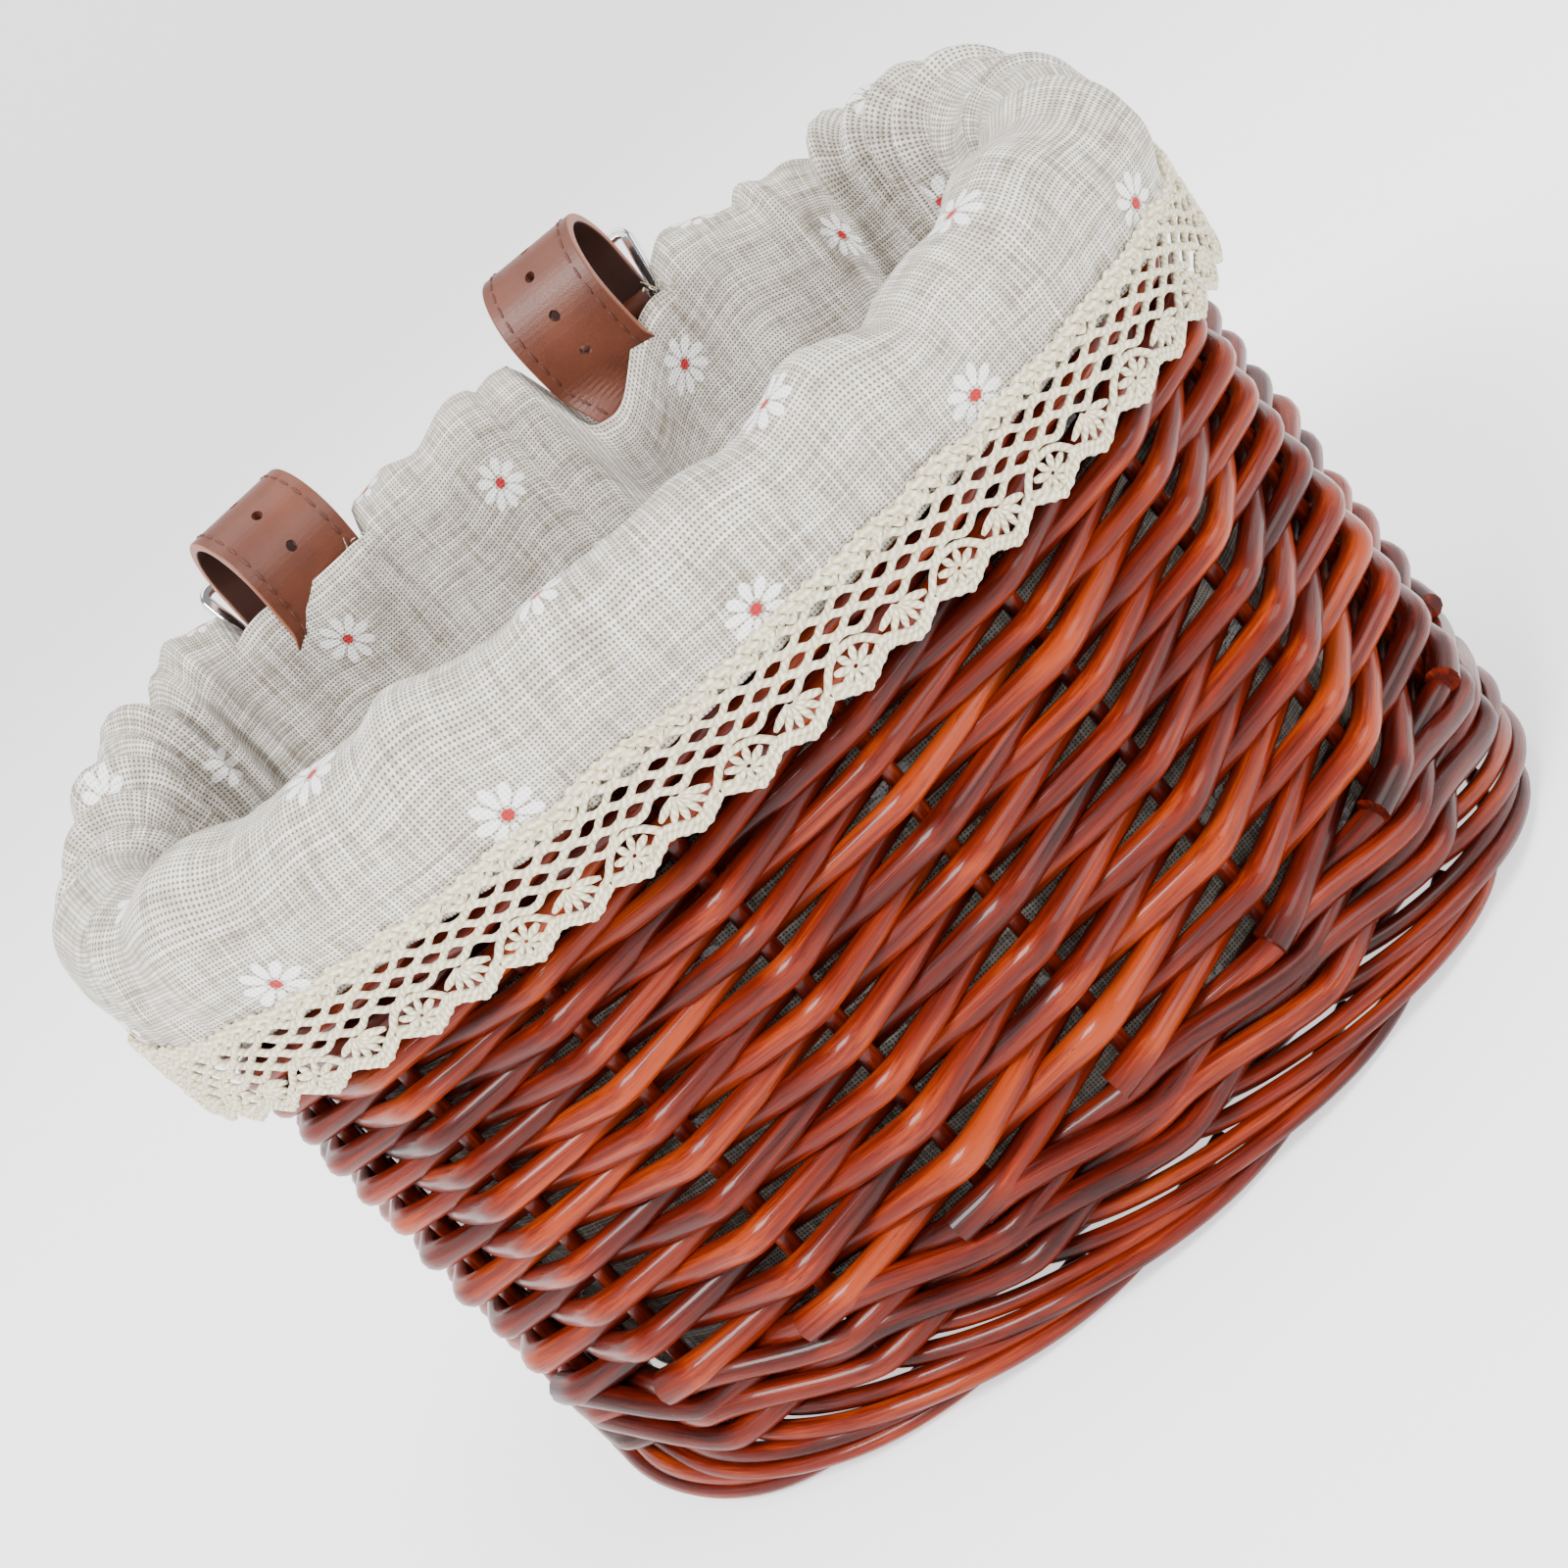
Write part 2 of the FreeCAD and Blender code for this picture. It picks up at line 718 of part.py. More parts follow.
# ---- buckles -----------------------------------------------------------------------------
def plane(body, role):
    """One of a body's own origin planes."""
    return [item for item in body.Origin.OriginFeatures if item.Role == role][0]


def new_sketch(body, name, role):
    """A sketch on one of a body's origin planes."""
    sketch = body.newObject("Sketcher::SketchObject", name)
    sketch.AttachmentSupport = [(plane(body, role), "")]
    sketch.MapMode = "FlatFace"
    return sketch


def circle(sketch, across, up, expression):
    """A circle whose radius is bound to the sheet."""
    centre = Vector(across, up, 0)
    index = sketch.addGeometry(Part.Circle(centre, Vector(0, 0, 1), 1.0), False)
    sketch.addConstraint(Sketcher.Constraint("Coincident", index, 3, -1, 1))
    number = sketch.addConstraint(Sketcher.Constraint("Radius", index, 1.0))
    sketch.setExpression(f"Constraints[{number}]", expression)


def buckle_frame(side):
    """The cast frame: two legs, a far side and the pin that the strap's sleeve holds."""
    body = doc.addObject("PartDesign::Body", f"{side}_buckle_frame")
    body.Label = f"{side}_buckle_frame"
    sketch = new_sketch(body, "frame_outline", "XZ_Plane")
    inner = dim("strap_width") / 2 + 3 * dim("fit_gap")
    outer = inner + dim("frame_side")
    foot = -dim("frame_thickness") / 2
    top = dim("frame_reach") + dim("frame_side") / 2
    under = dim("frame_reach") - dim("frame_side") / 2
    corner = dim("frame_corner")
    lean = corner * (1 - math.sqrt(0.5))
    corners = [(-outer, foot), (-outer, top - corner), (-outer + corner, top),
               (outer - corner, top), (outer, top - corner), (outer, foot), (inner, foot),
               (inner, under), (-inner, under), (-inner, foot)]
    points = [Vector(x, z, 0) for x, z in corners]
    for i, start in enumerate(points):
        end = points[(i + 1) % len(points)]
        if i == 1:
            bend = Vector(-outer + lean, top - lean, 0)
            sketch.addGeometry(Part.Arc(start, bend, end), False)
        elif i == 3:
            bend = Vector(outer - lean, top - lean, 0)
            sketch.addGeometry(Part.Arc(start, bend, end), False)
        else:
            sketch.addGeometry(Part.LineSegment(start, end), False)
    pad = body.newObject("PartDesign::Pad", "frame_pad")
    pad.Profile = sketch
    pad.Midplane = True
    pad.setExpression("Length", "Dimensions.frame_thickness")
    doc.recompute()
    fillet = body.newObject("PartDesign::Fillet", "frame_round")
    fillet.Base = (pad, [""])
    fillet.UseAllEdges = True
    fillet.setExpression("Radius", "Dimensions.frame_round")
    doc.recompute()
    pin_sketch = new_sketch(body, "pin_outline", "YZ_Plane")
    circle(pin_sketch, 0, 0, "Dimensions.pin_width / 2")
    pin = body.newObject("PartDesign::Pad", "pin_pad")
    pin.Profile = pin_sketch
    pin.Midplane = True
    pin.setExpression("Length", "Dimensions.strap_width + 6 * Dimensions.fit_gap"
                      " + Dimensions.frame_side")
    body.Tip = pin
    return body


def buckle_prong(side):
    """The prong: an eye round the pin and a round shank that rests on the frame."""
    body = doc.addObject("PartDesign::Body", f"{side}_buckle_prong")
    body.Label = f"{side}_buckle_prong"
    eye_sketch = new_sketch(body, "eye_outline", "YZ_Plane")
    circle(eye_sketch, 0, 0, "Dimensions.pin_width / 2 + Dimensions.eye_wall")
    eye = body.newObject("PartDesign::Pad", "eye_pad")
    eye.Profile = eye_sketch
    eye.Midplane = True
    eye.setExpression("Length", "Dimensions.eye_width")
    shank_sketch = new_sketch(body, "shank_outline", "XY_Plane")
    circle(shank_sketch, 0, 0, "Dimensions.prong_width / 2")
    shank = body.newObject("PartDesign::Pad", "shank_pad")
    shank.Profile = shank_sketch
    shank.setExpression("Length", "Dimensions.prong_length")
    doc.recompute()
    bore_sketch = new_sketch(body, "bore_outline", "YZ_Plane")
    circle(bore_sketch, 0, 0, "Dimensions.pin_width / 2 + Dimensions.pin_play")
    bore = body.newObject("PartDesign::Pocket", "eye_bore")
    bore.Profile = bore_sketch
    bore.Midplane = True
    bore.setExpression("Length", "Dimensions.eye_width * 2")
    body.Tip = bore
    return body


def hang(body, side, lean):
    """Place a buckle piece on the pin, leaning outwards."""
    frame = strap_frame(side, dim("twist_height"))
    tilt = FreeCAD.Placement(Vector(0, BEND, PIN), FreeCAD.Rotation(Vector(1, 0, 0), -lean))
    body.Placement = frame.multiply(tilt)
    PARTS.append(body)


for side in STRAP_PLACES:
    hang(buckle_frame(side), side, dim("frame_lean"))
    hang(buckle_prong(side), side, dim("prong_lean"))

# ---- check and export --------------------------------------------------------------------
doc.recompute()
for item in doc.Objects:
    if "Invalid" in item.State or "Error" in item.State:
        raise ValueError(f"{item.Label} did not compute: {item.State}")
for part in PARTS:
    if part.Shape.isNull() or not part.Shape.isValid():
        raise ValueError(f"{part.Label} has no valid shape")

os.makedirs("parts", exist_ok=True)
for part in PARTS:
    part.Shape.exportStep(os.path.join("parts", f"{part.Label}.step"))
box = Part.makeCompound([part.Shape for part in PARTS]).BoundBox
print(len(PARTS), "parts", "girth", round(GIRTH), "stakes", COUNT)
print("x", round(box.XMin, 1), round(box.XMax, 1), "y", round(box.YMin, 1), round(box.YMax, 1),
      "z", round(box.ZMin, 1), round(box.ZMax, 1))
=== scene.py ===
# %% [markdown]
# # A lined wicker handlebar basket
# The basket is a willow shell with a linen bag inside it. The bag folds over the rim as a
# cuff, a lace edging hangs from the cuff's hem, and two buckled leather straps at the flat
# back hold the basket to a handlebar. This lesson dresses the finished frame: each woven
# rod, the cloth, the lace and the straps become pieces of their own.

# %% The frame and the tools
import json
import math
import random

import bmesh
import bpy
import numpy as np
from mathutils import Matrix, Vector, noise


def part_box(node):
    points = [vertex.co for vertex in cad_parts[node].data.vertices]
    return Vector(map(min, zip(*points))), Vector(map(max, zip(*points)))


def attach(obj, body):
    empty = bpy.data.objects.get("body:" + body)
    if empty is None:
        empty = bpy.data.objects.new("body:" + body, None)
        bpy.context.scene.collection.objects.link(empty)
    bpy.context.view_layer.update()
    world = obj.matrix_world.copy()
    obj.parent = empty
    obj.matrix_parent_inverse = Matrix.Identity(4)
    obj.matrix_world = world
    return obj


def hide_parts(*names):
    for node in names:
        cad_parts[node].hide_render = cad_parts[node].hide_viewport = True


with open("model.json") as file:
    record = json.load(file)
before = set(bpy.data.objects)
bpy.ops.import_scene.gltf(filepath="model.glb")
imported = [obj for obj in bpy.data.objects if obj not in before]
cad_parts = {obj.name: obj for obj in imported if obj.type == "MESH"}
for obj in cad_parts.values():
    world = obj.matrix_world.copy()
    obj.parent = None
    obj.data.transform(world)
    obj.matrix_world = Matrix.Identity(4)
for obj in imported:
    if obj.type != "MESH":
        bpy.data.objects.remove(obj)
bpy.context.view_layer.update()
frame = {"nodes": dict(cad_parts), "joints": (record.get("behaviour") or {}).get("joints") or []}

# %% [markdown]
# All lengths in the frame are metres, and a basket maker thinks in millimetres, so one
# constant turns the one into the other.

# %% Units and places read from the frame
MM = 0.001
RIM_AXIS = 160.0      # height of the rim's middle, which the bag folds over
FOLD_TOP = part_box("liner_cuff")[1].z / MM
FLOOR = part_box("liner_floor")[1].z / MM
LACE_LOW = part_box("lace_trim")[0].z / MM
print("fold top", round(FOLD_TOP, 1), "mm, inner floor", round(FLOOR, 1), "mm")

# %% [markdown]
# ## Camera
# The basket is seen a little from above, turned on its side like a picture hung crooked.
# A camera is a place, a direction and a roll: the roll is what tilts the basket.

# %% Camera
CAMERA_LENS = 55.4
CAMERA_DISTANCE = 519 * MM
CAMERA_RISE = math.radians(17.9)
CAMERA_TURN = math.radians(0.5)
CAMERA_ROLL = math.radians(41.2)
CAMERA_SHIFT = 3.9 * MM      # to the left, so that the basket sits in the middle
LOOK_AT = Vector((0, 14.2, 85)) * MM


def make_camera():
    """Stand the camera off from the basket and roll it."""
    away = Vector((math.sin(CAMERA_TURN) * math.cos(CAMERA_RISE),
                   -math.cos(CAMERA_TURN) * math.cos(CAMERA_RISE), math.sin(CAMERA_RISE)))
    level = (-away).cross(Vector((0, 0, 1))).normalized()
    upright = level.cross(-away).normalized()
    right = level * math.cos(CAMERA_ROLL) - upright * math.sin(CAMERA_ROLL)
    up = level * math.sin(CAMERA_ROLL) + upright * math.cos(CAMERA_ROLL)
    place = LOOK_AT + away * CAMERA_DISTANCE - level * CAMERA_SHIFT
    data = bpy.data.cameras.new("basket_camera")
    data.lens = CAMERA_LENS
    camera = bpy.data.objects.new("basket_camera", data)
    bpy.context.scene.collection.objects.link(camera)
    turn = Matrix((right, up, away)).transposed()
    camera.matrix_world = Matrix.Translation(place) @ turn.to_4x4()
    bpy.context.scene.camera = camera
    return camera


camera = make_camera()
print("camera stands", round(camera.location.length / MM), "mm from the basket's foot")

# %% [markdown]
# ## The plan of the basket
# Everything on the basket follows one plan: a flat back, two tight back corners, bowed
# sides and a bowed front. Arcs that share a direction where they meet give one smooth
# outline, and a distance along it says where a thing stands. The sizes are those of the
# drawn basket, measured to the middle of its stakes.

# %% The plan as tangent arcs
HALF_WIDTH = 120.0
PLAN_DEPTH = 166.0
BACK_WALL = 79.2
BACK_CORNER = 36.0
FRONT_CORNER = 72.0
HEADINGS = [math.radians(a) for a in (0, 78, 102, 156, 180)]


def plan_arcs():
    """(length, radius) of each stretch of half the plan, from the middle of the back."""
    sin_side, cos_side = math.sin(HEADINGS[1]), math.cos(HEADINGS[1])
    sin_front, cos_front = math.sin(HEADINGS[3]), math.cos(HEADINGS[3])
    bow = (1 + cos_front) / sin_front
    corners = BACK_CORNER * (1 - cos_side) + FRONT_CORNER * (-cos_side - cos_front)
    reach = HALF_WIDTH + FRONT_CORNER * (sin_front - sin_side)
    side = (PLAN_DEPTH - corners - bow * reach) / (2 * cos_side - bow * (1 - sin_side))
    nose = (reach - side * (1 - sin_side)) / sin_front
    flat = HALF_WIDTH - BACK_CORNER * sin_side - side * (1 - sin_side)
    radii = [BACK_CORNER, side, FRONT_CORNER, nose]
    turns = [b - a for a, b in zip(HEADINGS, HEADINGS[1:])]
    return [(flat, None)] + [(r * t, r) for r, t in zip(radii, turns)]


def plan_table(step=0.5):
    """The plan walked in small steps: distance, x, y and heading, as arrays."""
    half = plan_arcs()
    rows = []
    distance, x, y, heading = 0.0, 0.0, BACK_WALL, math.pi
    for length, radius in half + half[::-1]:
        count = max(1, round(length / step))
        for _ in range(count):
            rows.append((distance, x, y, heading))
            run = length / count
            turn = 0.0 if radius is None else run / radius
            x += run * math.cos(heading + turn / 2)
            y += run * math.sin(heading + turn / 2)
            heading += turn
            distance += run
    rows.append((distance, x, y, heading))
    return np.array(rows)


PLAN = plan_table()
GIRTH = PLAN[-1, 0]


def around(distance, offset, height):
    """Points round the plan in metres: distances, offsets and heights in millimetres.

    A distance grows from the middle of the back past the left side to the front.
    """
    distance, offset, height = np.broadcast_arrays(distance, offset, height)
    place = np.mod(distance, GIRTH)
    x = np.interp(place, PLAN[:, 0], PLAN[:, 1])
    y = np.interp(place, PLAN[:, 0], PLAN[:, 2])
    heading = np.interp(place, PLAN[:, 0], PLAN[:, 3])
    x = x + np.sin(heading) * offset
    y = y - np.cos(heading) * offset
    return np.stack([x, y, height], axis=-1) * MM


print("the basket measures", round(GIRTH), "mm round its stakes")

# %% [markdown]
# ## Small helpers for pieces
# A finished piece always goes through the same steps: it gets a material, rides on a body,
# and says which drawn part it stands for.

# %% Putting pieces on the frame
def add_piece(name, mesh, material, body, stands_for=()):
    """Link a mesh as a piece of the basket."""
    piece = bpy.data.objects.new(name, mesh)
    bpy.context.scene.collection.objects.link(piece)
    mesh.materials.clear()
    mesh.materials.append(material)
    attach(piece, body)
    if stands_for:
        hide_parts(*stands_for)
    return piece


def smooth(mesh):
    """Shade a mesh's faces smoothly."""
    mesh.polygons.foreach_set("use_smooth", [True] * len(mesh.polygons))
    mesh.update()


def set_attribute(mesh, name, kind, values):
    """Store one value per point of a mesh for its material to read."""
    attribute = mesh.attributes.new(name, kind, "POINT")
    field = "vector" if kind == "FLOAT_VECTOR" else "value"
    attribute.data.foreach_set(field, np.asarray(values, np.float32).ravel())


def mesh_points(mesh):
    """A mesh's points as an array."""
    points = np.zeros(len(mesh.vertices) * 3)
    mesh.vertices.foreach_get("co", points)
    return points.reshape(-1, 3)


def move_points(mesh, points):
    """Give a mesh's points new places."""
    mesh.vertices.foreach_set("co", np.asarray(points, np.float64).ravel())
    mesh.update()


# %% [markdown]
# ## Node helpers
# Materials are built from the same few nodes again and again, so short functions add a
# node, set its values and link it.

# %% Node helpers
class Nodes:
    """A node tree with short ways to add and link nodes."""

    def __init__(self, tree):
        self.tree = tree

    def add(self, kind, inputs=None, **settings):
        """Add a node, set its properties, and set or link its inputs."""
        node = self.tree.nodes.new(kind)
        for name, value in settings.items():
            setattr(node, name, value)
        for key, value in (inputs or {}).items():
            self.put(node.inputs[key], value)
        return node

    def put(self, socket, value):
        """Link a socket, or set its value."""
        if isinstance(value, bpy.types.NodeSocket):
            self.tree.links.new(value, socket)
        else:
            socket.default_value = value

    def math(self, operation, first, second=0.0, third=0.0):
        """A Math node's result."""
        node = self.add("ShaderNodeMath", {0: first, 1: second, 2: third},
                        operation=operation)
        return node.outputs[0]

    def span(self, value, low, high, to_low=0.0, to_high=1.0):
        """Map a value from one range to another, clamped."""
        node = self.add("ShaderNodeMapRange", {
            "Value": value, "From Min": low, "From Max": high,
            "To Min": to_low, "To Max": to_high})
        return node.outputs["Result"]

    def blend(self, share, first, second):
        """Mix two colours."""
        node = self.add("ShaderNodeMix", data_type="RGBA")
        self.put(node.inputs[0], share)
        self.put(node.inputs[6], first)
        self.put(node.inputs[7], second)
        return node.outputs[2]

    def noise(self, vector, scale, detail=3.0, roughness=0.5):
        """A noise texture's value."""
        node = self.add("ShaderNodeTexNoise", {
            "Vector": vector, "Scale": scale, "Detail": detail, "Roughness": roughness})
        return node.outputs["Fac"]

    def stretch(self, vector, scale):
        """A vector scaled along its axes."""
        node = self.add("ShaderNodeMapping", {"Vector": vector, "Scale": scale})
        return node.outputs["Vector"]


def new_material(name):
    """A material with its shader, and the tools to build it."""
    material = bpy.data.materials.new(name)
    material.use_nodes = True
    nodes = Nodes(material.node_tree)
    shader = material.node_tree.nodes["Principled BSDF"]
    return material, nodes, shader


def new_group(name, inputs, outputs):
    """A shader node group: its tree, its input sockets and its output node."""
    tree = bpy.data.node_groups.new(name, "ShaderNodeTree")
    kinds = {"value": "NodeSocketFloat", "colour": "NodeSocketColor",
             "vector": "NodeSocketVector"}
    for socket, (kind, default) in inputs.items():
        made = tree.interface.new_socket(socket, in_out="INPUT", socket_type=kinds[kind])
        if default is not None:
            made.default_value = default
    for socket, kind in outputs.items():
        tree.interface.new_socket(socket, in_out="OUTPUT", socket_type=kinds[kind])
    nodes = Nodes(tree)
    source = tree.nodes.new("NodeGroupInput")
    sink = tree.nodes.new("NodeGroupOutput")
    return tree, nodes, source.outputs, sink.inputs


def use_group(nodes, tree, inputs):
    """Place a node group in a material."""
    node = nodes.add("ShaderNodeGroup", node_tree=tree)
    for name, value in inputs.items():
        nodes.put(node.inputs[name], value)
    return node.outputs


# %% [markdown]
# ## Stained willow
# Peeled willow is stained red-brown and varnished. The grain runs along the rod in fine
# streaks, the stain is paler where the rod was rubbed and nearly black in nicks and knots.
# A rod is darker where it goes behind a stake, which is painted shade, and its cut ends
# take more stain. The grain has to follow each rod round the basket, so every rod carries
# three attributes: where a point lies along and round it, the rod's own tone, and how much
# painted shade and end stain darken it. One node group makes the grain for every willow
# part.

# %% The willow grain as a node group
# The stain from its darkest to its palest, and the steps between.
STAIN_DARK = (0.008, 0.0009, 0.0005, 1)
STAIN_PALE = (0.26, 0.032, 0.0040, 1)
STAIN_BETWEEN = [(0.28, (0.026, 0.0018, 0.0007, 1)), (0.52, (0.070, 0.0040, 0.0006, 1)),
                 (0.76, (0.135, 0.0100, 0.0012, 1))]
NICK_COLOUR = (0.022, 0.006, 0.004, 1)


def willow_grain_group():
    """Streaks, knots and stain from a rod's own coordinates."""
    tree, nodes, given, result = new_group(
        "willow grain",
        {"Along": ("vector", None), "Tone": ("value", 0.5), "Stain and shade": ("value", 0.0)},
        {"Color": "colour", "Gloss": "value", "Height": "value"})
    streaks = nodes.noise(nodes.stretch(given["Along"], (55, 2.4, 2.4)), 1.0, 4.0, 0.6)
    fibres = nodes.noise(nodes.stretch(given["Along"], (160, 9, 9)), 1.0, 3.0, 0.6)
    clouds = nodes.noise(nodes.stretch(given["Along"], (28, 0.5, 0.5)), 1.0, 2.0, 0.5)
    nicks = nodes.noise(nodes.stretch(given["Along"], (420, 5, 5)), 1.0, 2.0, 0.5)
    depth = nodes.math("MULTIPLY_ADD", streaks, 0.9, -0.72)
    depth = nodes.math("MULTIPLY_ADD", fibres, 0.5, depth)
    depth = nodes.math("MULTIPLY_ADD", clouds, 1.2, depth)
    depth = nodes.math("MULTIPLY_ADD", given["Tone"], 0.40, depth)
    # Painted shade where a rod goes behind a stake, and darker stain at cut ends, darken the
    # colour.
    depth = nodes.math("MULTIPLY_ADD", given["Stain and shade"], -0.30, depth)
    ramp = nodes.add("ShaderNodeValToRGB", {"Fac": depth})
    ramp.color_ramp.elements[0].position = 0.0
    ramp.color_ramp.elements[0].color = STAIN_DARK
    ramp.color_ramp.elements[1].position = 1.0
    ramp.color_ramp.elements[1].color = STAIN_PALE
    for place, colour in STAIN_BETWEEN:
        ramp.color_ramp.elements.new(place).color = colour
    nick = nodes.span(nicks, 0.70, 0.78)
    colour = nodes.blend(nodes.math("MULTIPLY", nick, 0.75), ramp.outputs["Color"],
                         NICK_COLOUR)
    nodes.put(result["Color"], colour)
    nodes.put(result["Gloss"], nodes.span(fibres, 0.3, 0.7, 0.26, 0.40))
    height = nodes.math("ADD", nodes.math("MULTIPLY", fibres, 0.6), streaks)
    nodes.put(result["Height"], nodes.math("SUBTRACT", height, nick))
    return tree


WILLOW_GRAIN = willow_grain_group()


def willow_material(name, along, tone, stain_and_shade):
    """Varnished willow from a rod's coordinates, tone and stain."""
    material, nodes, shader = new_material(name)
    made = use_group(nodes, WILLOW_GRAIN, {"Along": along(nodes), "Tone": tone(nodes),
                                           "Stain and shade": stain_and_shade(nodes)})
    nodes.put(shader.inputs["Base Color"], made["Color"])
    nodes.put(shader.inputs["Roughness"], made["Gloss"])
    bump = nodes.add("ShaderNodeBump", {"Strength": 0.4, "Distance": 0.3 * MM,
                                        "Height": made["Height"]})
    nodes.put(shader.inputs["Normal"], bump.outputs["Normal"])
    shader.inputs["Coat Weight"].default_value = 0.22
    shader.inputs["Coat Roughness"].default_value = 0.08
    shader.inputs["Specular IOR Level"].default_value = 0.12
    return material


def attribute_reader(name, socket):
    """A function that reads a mesh attribute inside a material."""
    def read(nodes):
        return nodes.add("ShaderNodeAttribute", attribute_name=name).outputs[socket]
    return read


WILLOW = willow_material("varnished willow", attribute_reader("along", "Vector"),
                         attribute_reader("tone", "Fac"), attribute_reader("stain_and_shade", "Fac"))
print("willow grain group:", len(WILLOW_GRAIN.nodes), "nodes")


# %% [markdown]
# The parts of the base and the rim keep their drawn meshes, which carry no rod
# coordinates. For them the same grain runs along the object's own X axis.

# %% Willow for the drawn parts
def object_along(nodes):
    """Object coordinates, scaled to pass for a rod's."""
    place = nodes.add("ShaderNodeTexCoord").outputs["Object"]
    return nodes.stretch(place, (1, 120, 120))


DRAWN_TONE = 0.35
DRAWN_STAIN_AND_SHADE = 0.3
PLAIN_WILLOW = willow_material("varnished willow, drawn parts", object_along,
                               lambda nodes: DRAWN_TONE, lambda nodes: DRAWN_STAIN_AND_SHADE)
for node in ["base_hoop", "base_sticks", "base_weave", "rim_rod_outer", "rim_rod_inner",
             "rim_rod_top_outer", "rim_rod_top_inner"]:
    mesh = frame["nodes"][node].data
    mesh.materials.clear()
    mesh.materials.append(PLAIN_WILLOW)


# %% [markdown]
# ## A willow rod
# A rod is a curve with a round bevel: it has a line to follow and a radius at each point,
# so it can taper like real willow. A NURBS line of order 3 bends gently round its points.
# The curve is turned into a mesh at once, and each point learns its distance along the
# rod for the grain.

# %% A rod from points and widths
GRAIN_APART = 7.0     # metres of grain between the palest rod and the darkest


def rod_mesh(name, points, widths, tone, stain_and_shade=None, sides=3, steps=4):
    """A tapering rod through points in metres, with widths in millimetres."""
    curve = bpy.data.curves.new(name, "CURVE")
    curve.dimensions = "3D"
    curve.bevel_depth = 1.0 * MM
    curve.bevel_resolution = sides
    curve.resolution_u = steps
    curve.use_fill_caps = True
    spline = curve.splines.new("NURBS")
    spline.points.add(len(points) - 1)
    for point, place, width in zip(spline.points, points, widths):
        point.co = (*place, 1.0)
        point.radius = width / 2
    spline.order_u = 3
    spline.use_endpoint_u = True
    holder = bpy.data.objects.new(name, curve)
    mesh = bpy.data.meshes.new_from_object(holder)
    bpy.data.objects.remove(holder)
    bpy.data.curves.remove(curve)
    mesh.name = name
    add_rod_coordinates(mesh, np.asarray(points, float), tone, stain_and_shade)
    smooth(mesh)
    return mesh


def add_rod_coordinates(mesh, line, tone, stain_and_shade):
    """Store where each point lies along and round the rod."""
    share = np.zeros(len(mesh.vertices))
    turn = np.zeros(len(mesh.vertices))
    loops = np.zeros(len(mesh.loops), np.int32)
    mesh.loops.foreach_get("vertex_index", loops)
    uv = np.zeros(len(mesh.loops) * 2)
    mesh.uv_layers[0].data.foreach_get("uv", uv)
    uv = uv.reshape(-1, 2)
    share[loops] = uv[:, 0]
    turn[loops] = uv[:, 1]
    length = np.linalg.norm(np.diff(line, axis=0), axis=1).sum()
    start = GRAIN_APART * tone
    along = np.stack([start + share * length, np.cos(turn * math.tau),
                      np.sin(turn * math.tau)], 1)
    set_attribute(mesh, "along", "FLOAT_VECTOR", along)
    set_attribute(mesh, "tone", "FLOAT", np.full(len(share), tone))
    if stain_and_shade is None:
        values = np.zeros(len(share))
    else:
        values = np.interp(share, np.linspace(0, 1, len(stain_and_shade)), stain_and_shade)
    set_attribute(mesh, "stain_and_shade", "FLOAT", values)


def join_meshes(name, meshes):
    """One mesh from many, with their attributes kept."""
    holders = []
    for mesh in meshes:
        holder = bpy.data.objects.new(mesh.name, mesh)
        bpy.context.scene.collection.objects.link(holder)
        holders.append(holder)
    with bpy.context.temp_override(active_object=holders[0], object=holders[0],
                                   selected_objects=holders, selected_editable_objects=holders):
        bpy.ops.object.join()
    joined = holders[0].data
    bpy.data.objects.remove(holders[0])
    joined.name = name
    return joined


# %% [markdown]
# ## The upright stakes
# The drawn stakes say where each upright stands. Their centres are read from the drawn
# part, so the weave and the stakes always agree.

# %% Where the stakes stand
STAKE_APART = 10.0    # points of one stake are closer together than this


def stake_places():
    """The stakes' places round the plan, in millimetres, from the drawn part."""
    points = mesh_points(frame["nodes"]["wall_stakes"].data)[:, :2] / MM
    distances = []
    for x, y in points:
        nearest = np.argmin((PLAN[:, 1] - x) ** 2 + (PLAN[:, 2] - y) ** 2)
        distances.append(PLAN[nearest, 0] % GIRTH)
    distances = np.sort(np.array(distances))
    groups = np.split(distances, np.where(np.diff(distances) > STAKE_APART)[0] + 1)
    return [float((g.min() + g.max()) / 2) for g in groups]


STAKES = stake_places()
COUNT = len(STAKES)
print(COUNT, "stakes, bays of", round(np.diff(STAKES).min(), 1), "to",
      round(np.diff(STAKES).max(), 1), "mm")


def station(number):
    """The place of a stake, counted past the first as often as needed."""
    return STAKES[number % COUNT] + GIRTH * (number // COUNT)


# %% Stakes as slightly crooked rods
STAKE_WIDTH = 3.9


def make_stakes():
    """All the uprights, each a little crooked."""
    low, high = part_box("wall_stakes")
    draw = random.Random(5)
    meshes = []
    for number, place in enumerate(STAKES):
        heights = np.linspace(low.z / MM, high.z / MM, 9)
        sway = np.array([draw.uniform(-0.5, 0.5) for _ in heights])
        points = around(place + sway, 0.0, heights)
        width = STAKE_WIDTH * draw.uniform(0.95, 1.12)
        widths = np.linspace(width, width * 0.9, len(heights))
        meshes.append(rod_mesh(f"stake_{number + 1}", points, widths, draw.random() * 0.6,
                               np.full(4, 0.45)))
    return add_piece("willow_stakes", join_meshes("willow_stakes", meshes), WILLOW, "basket",
                     ["wall_stakes"])


stakes = make_stakes()
print("stakes:", len(stakes.data.polygons), "faces")

# %% [markdown]
# ## The side weave
# The side is French randing. Every rod starts with its thick butt in front of its own
# stake, passes behind the next and in front of the one after, and climbs one step at each.
# Followed round the basket this makes level rows at every stake and long slants between.
# The same line could be drawn once and copied, but real rods differ, so each one is laid
# with its own thickness, tone and small errors.

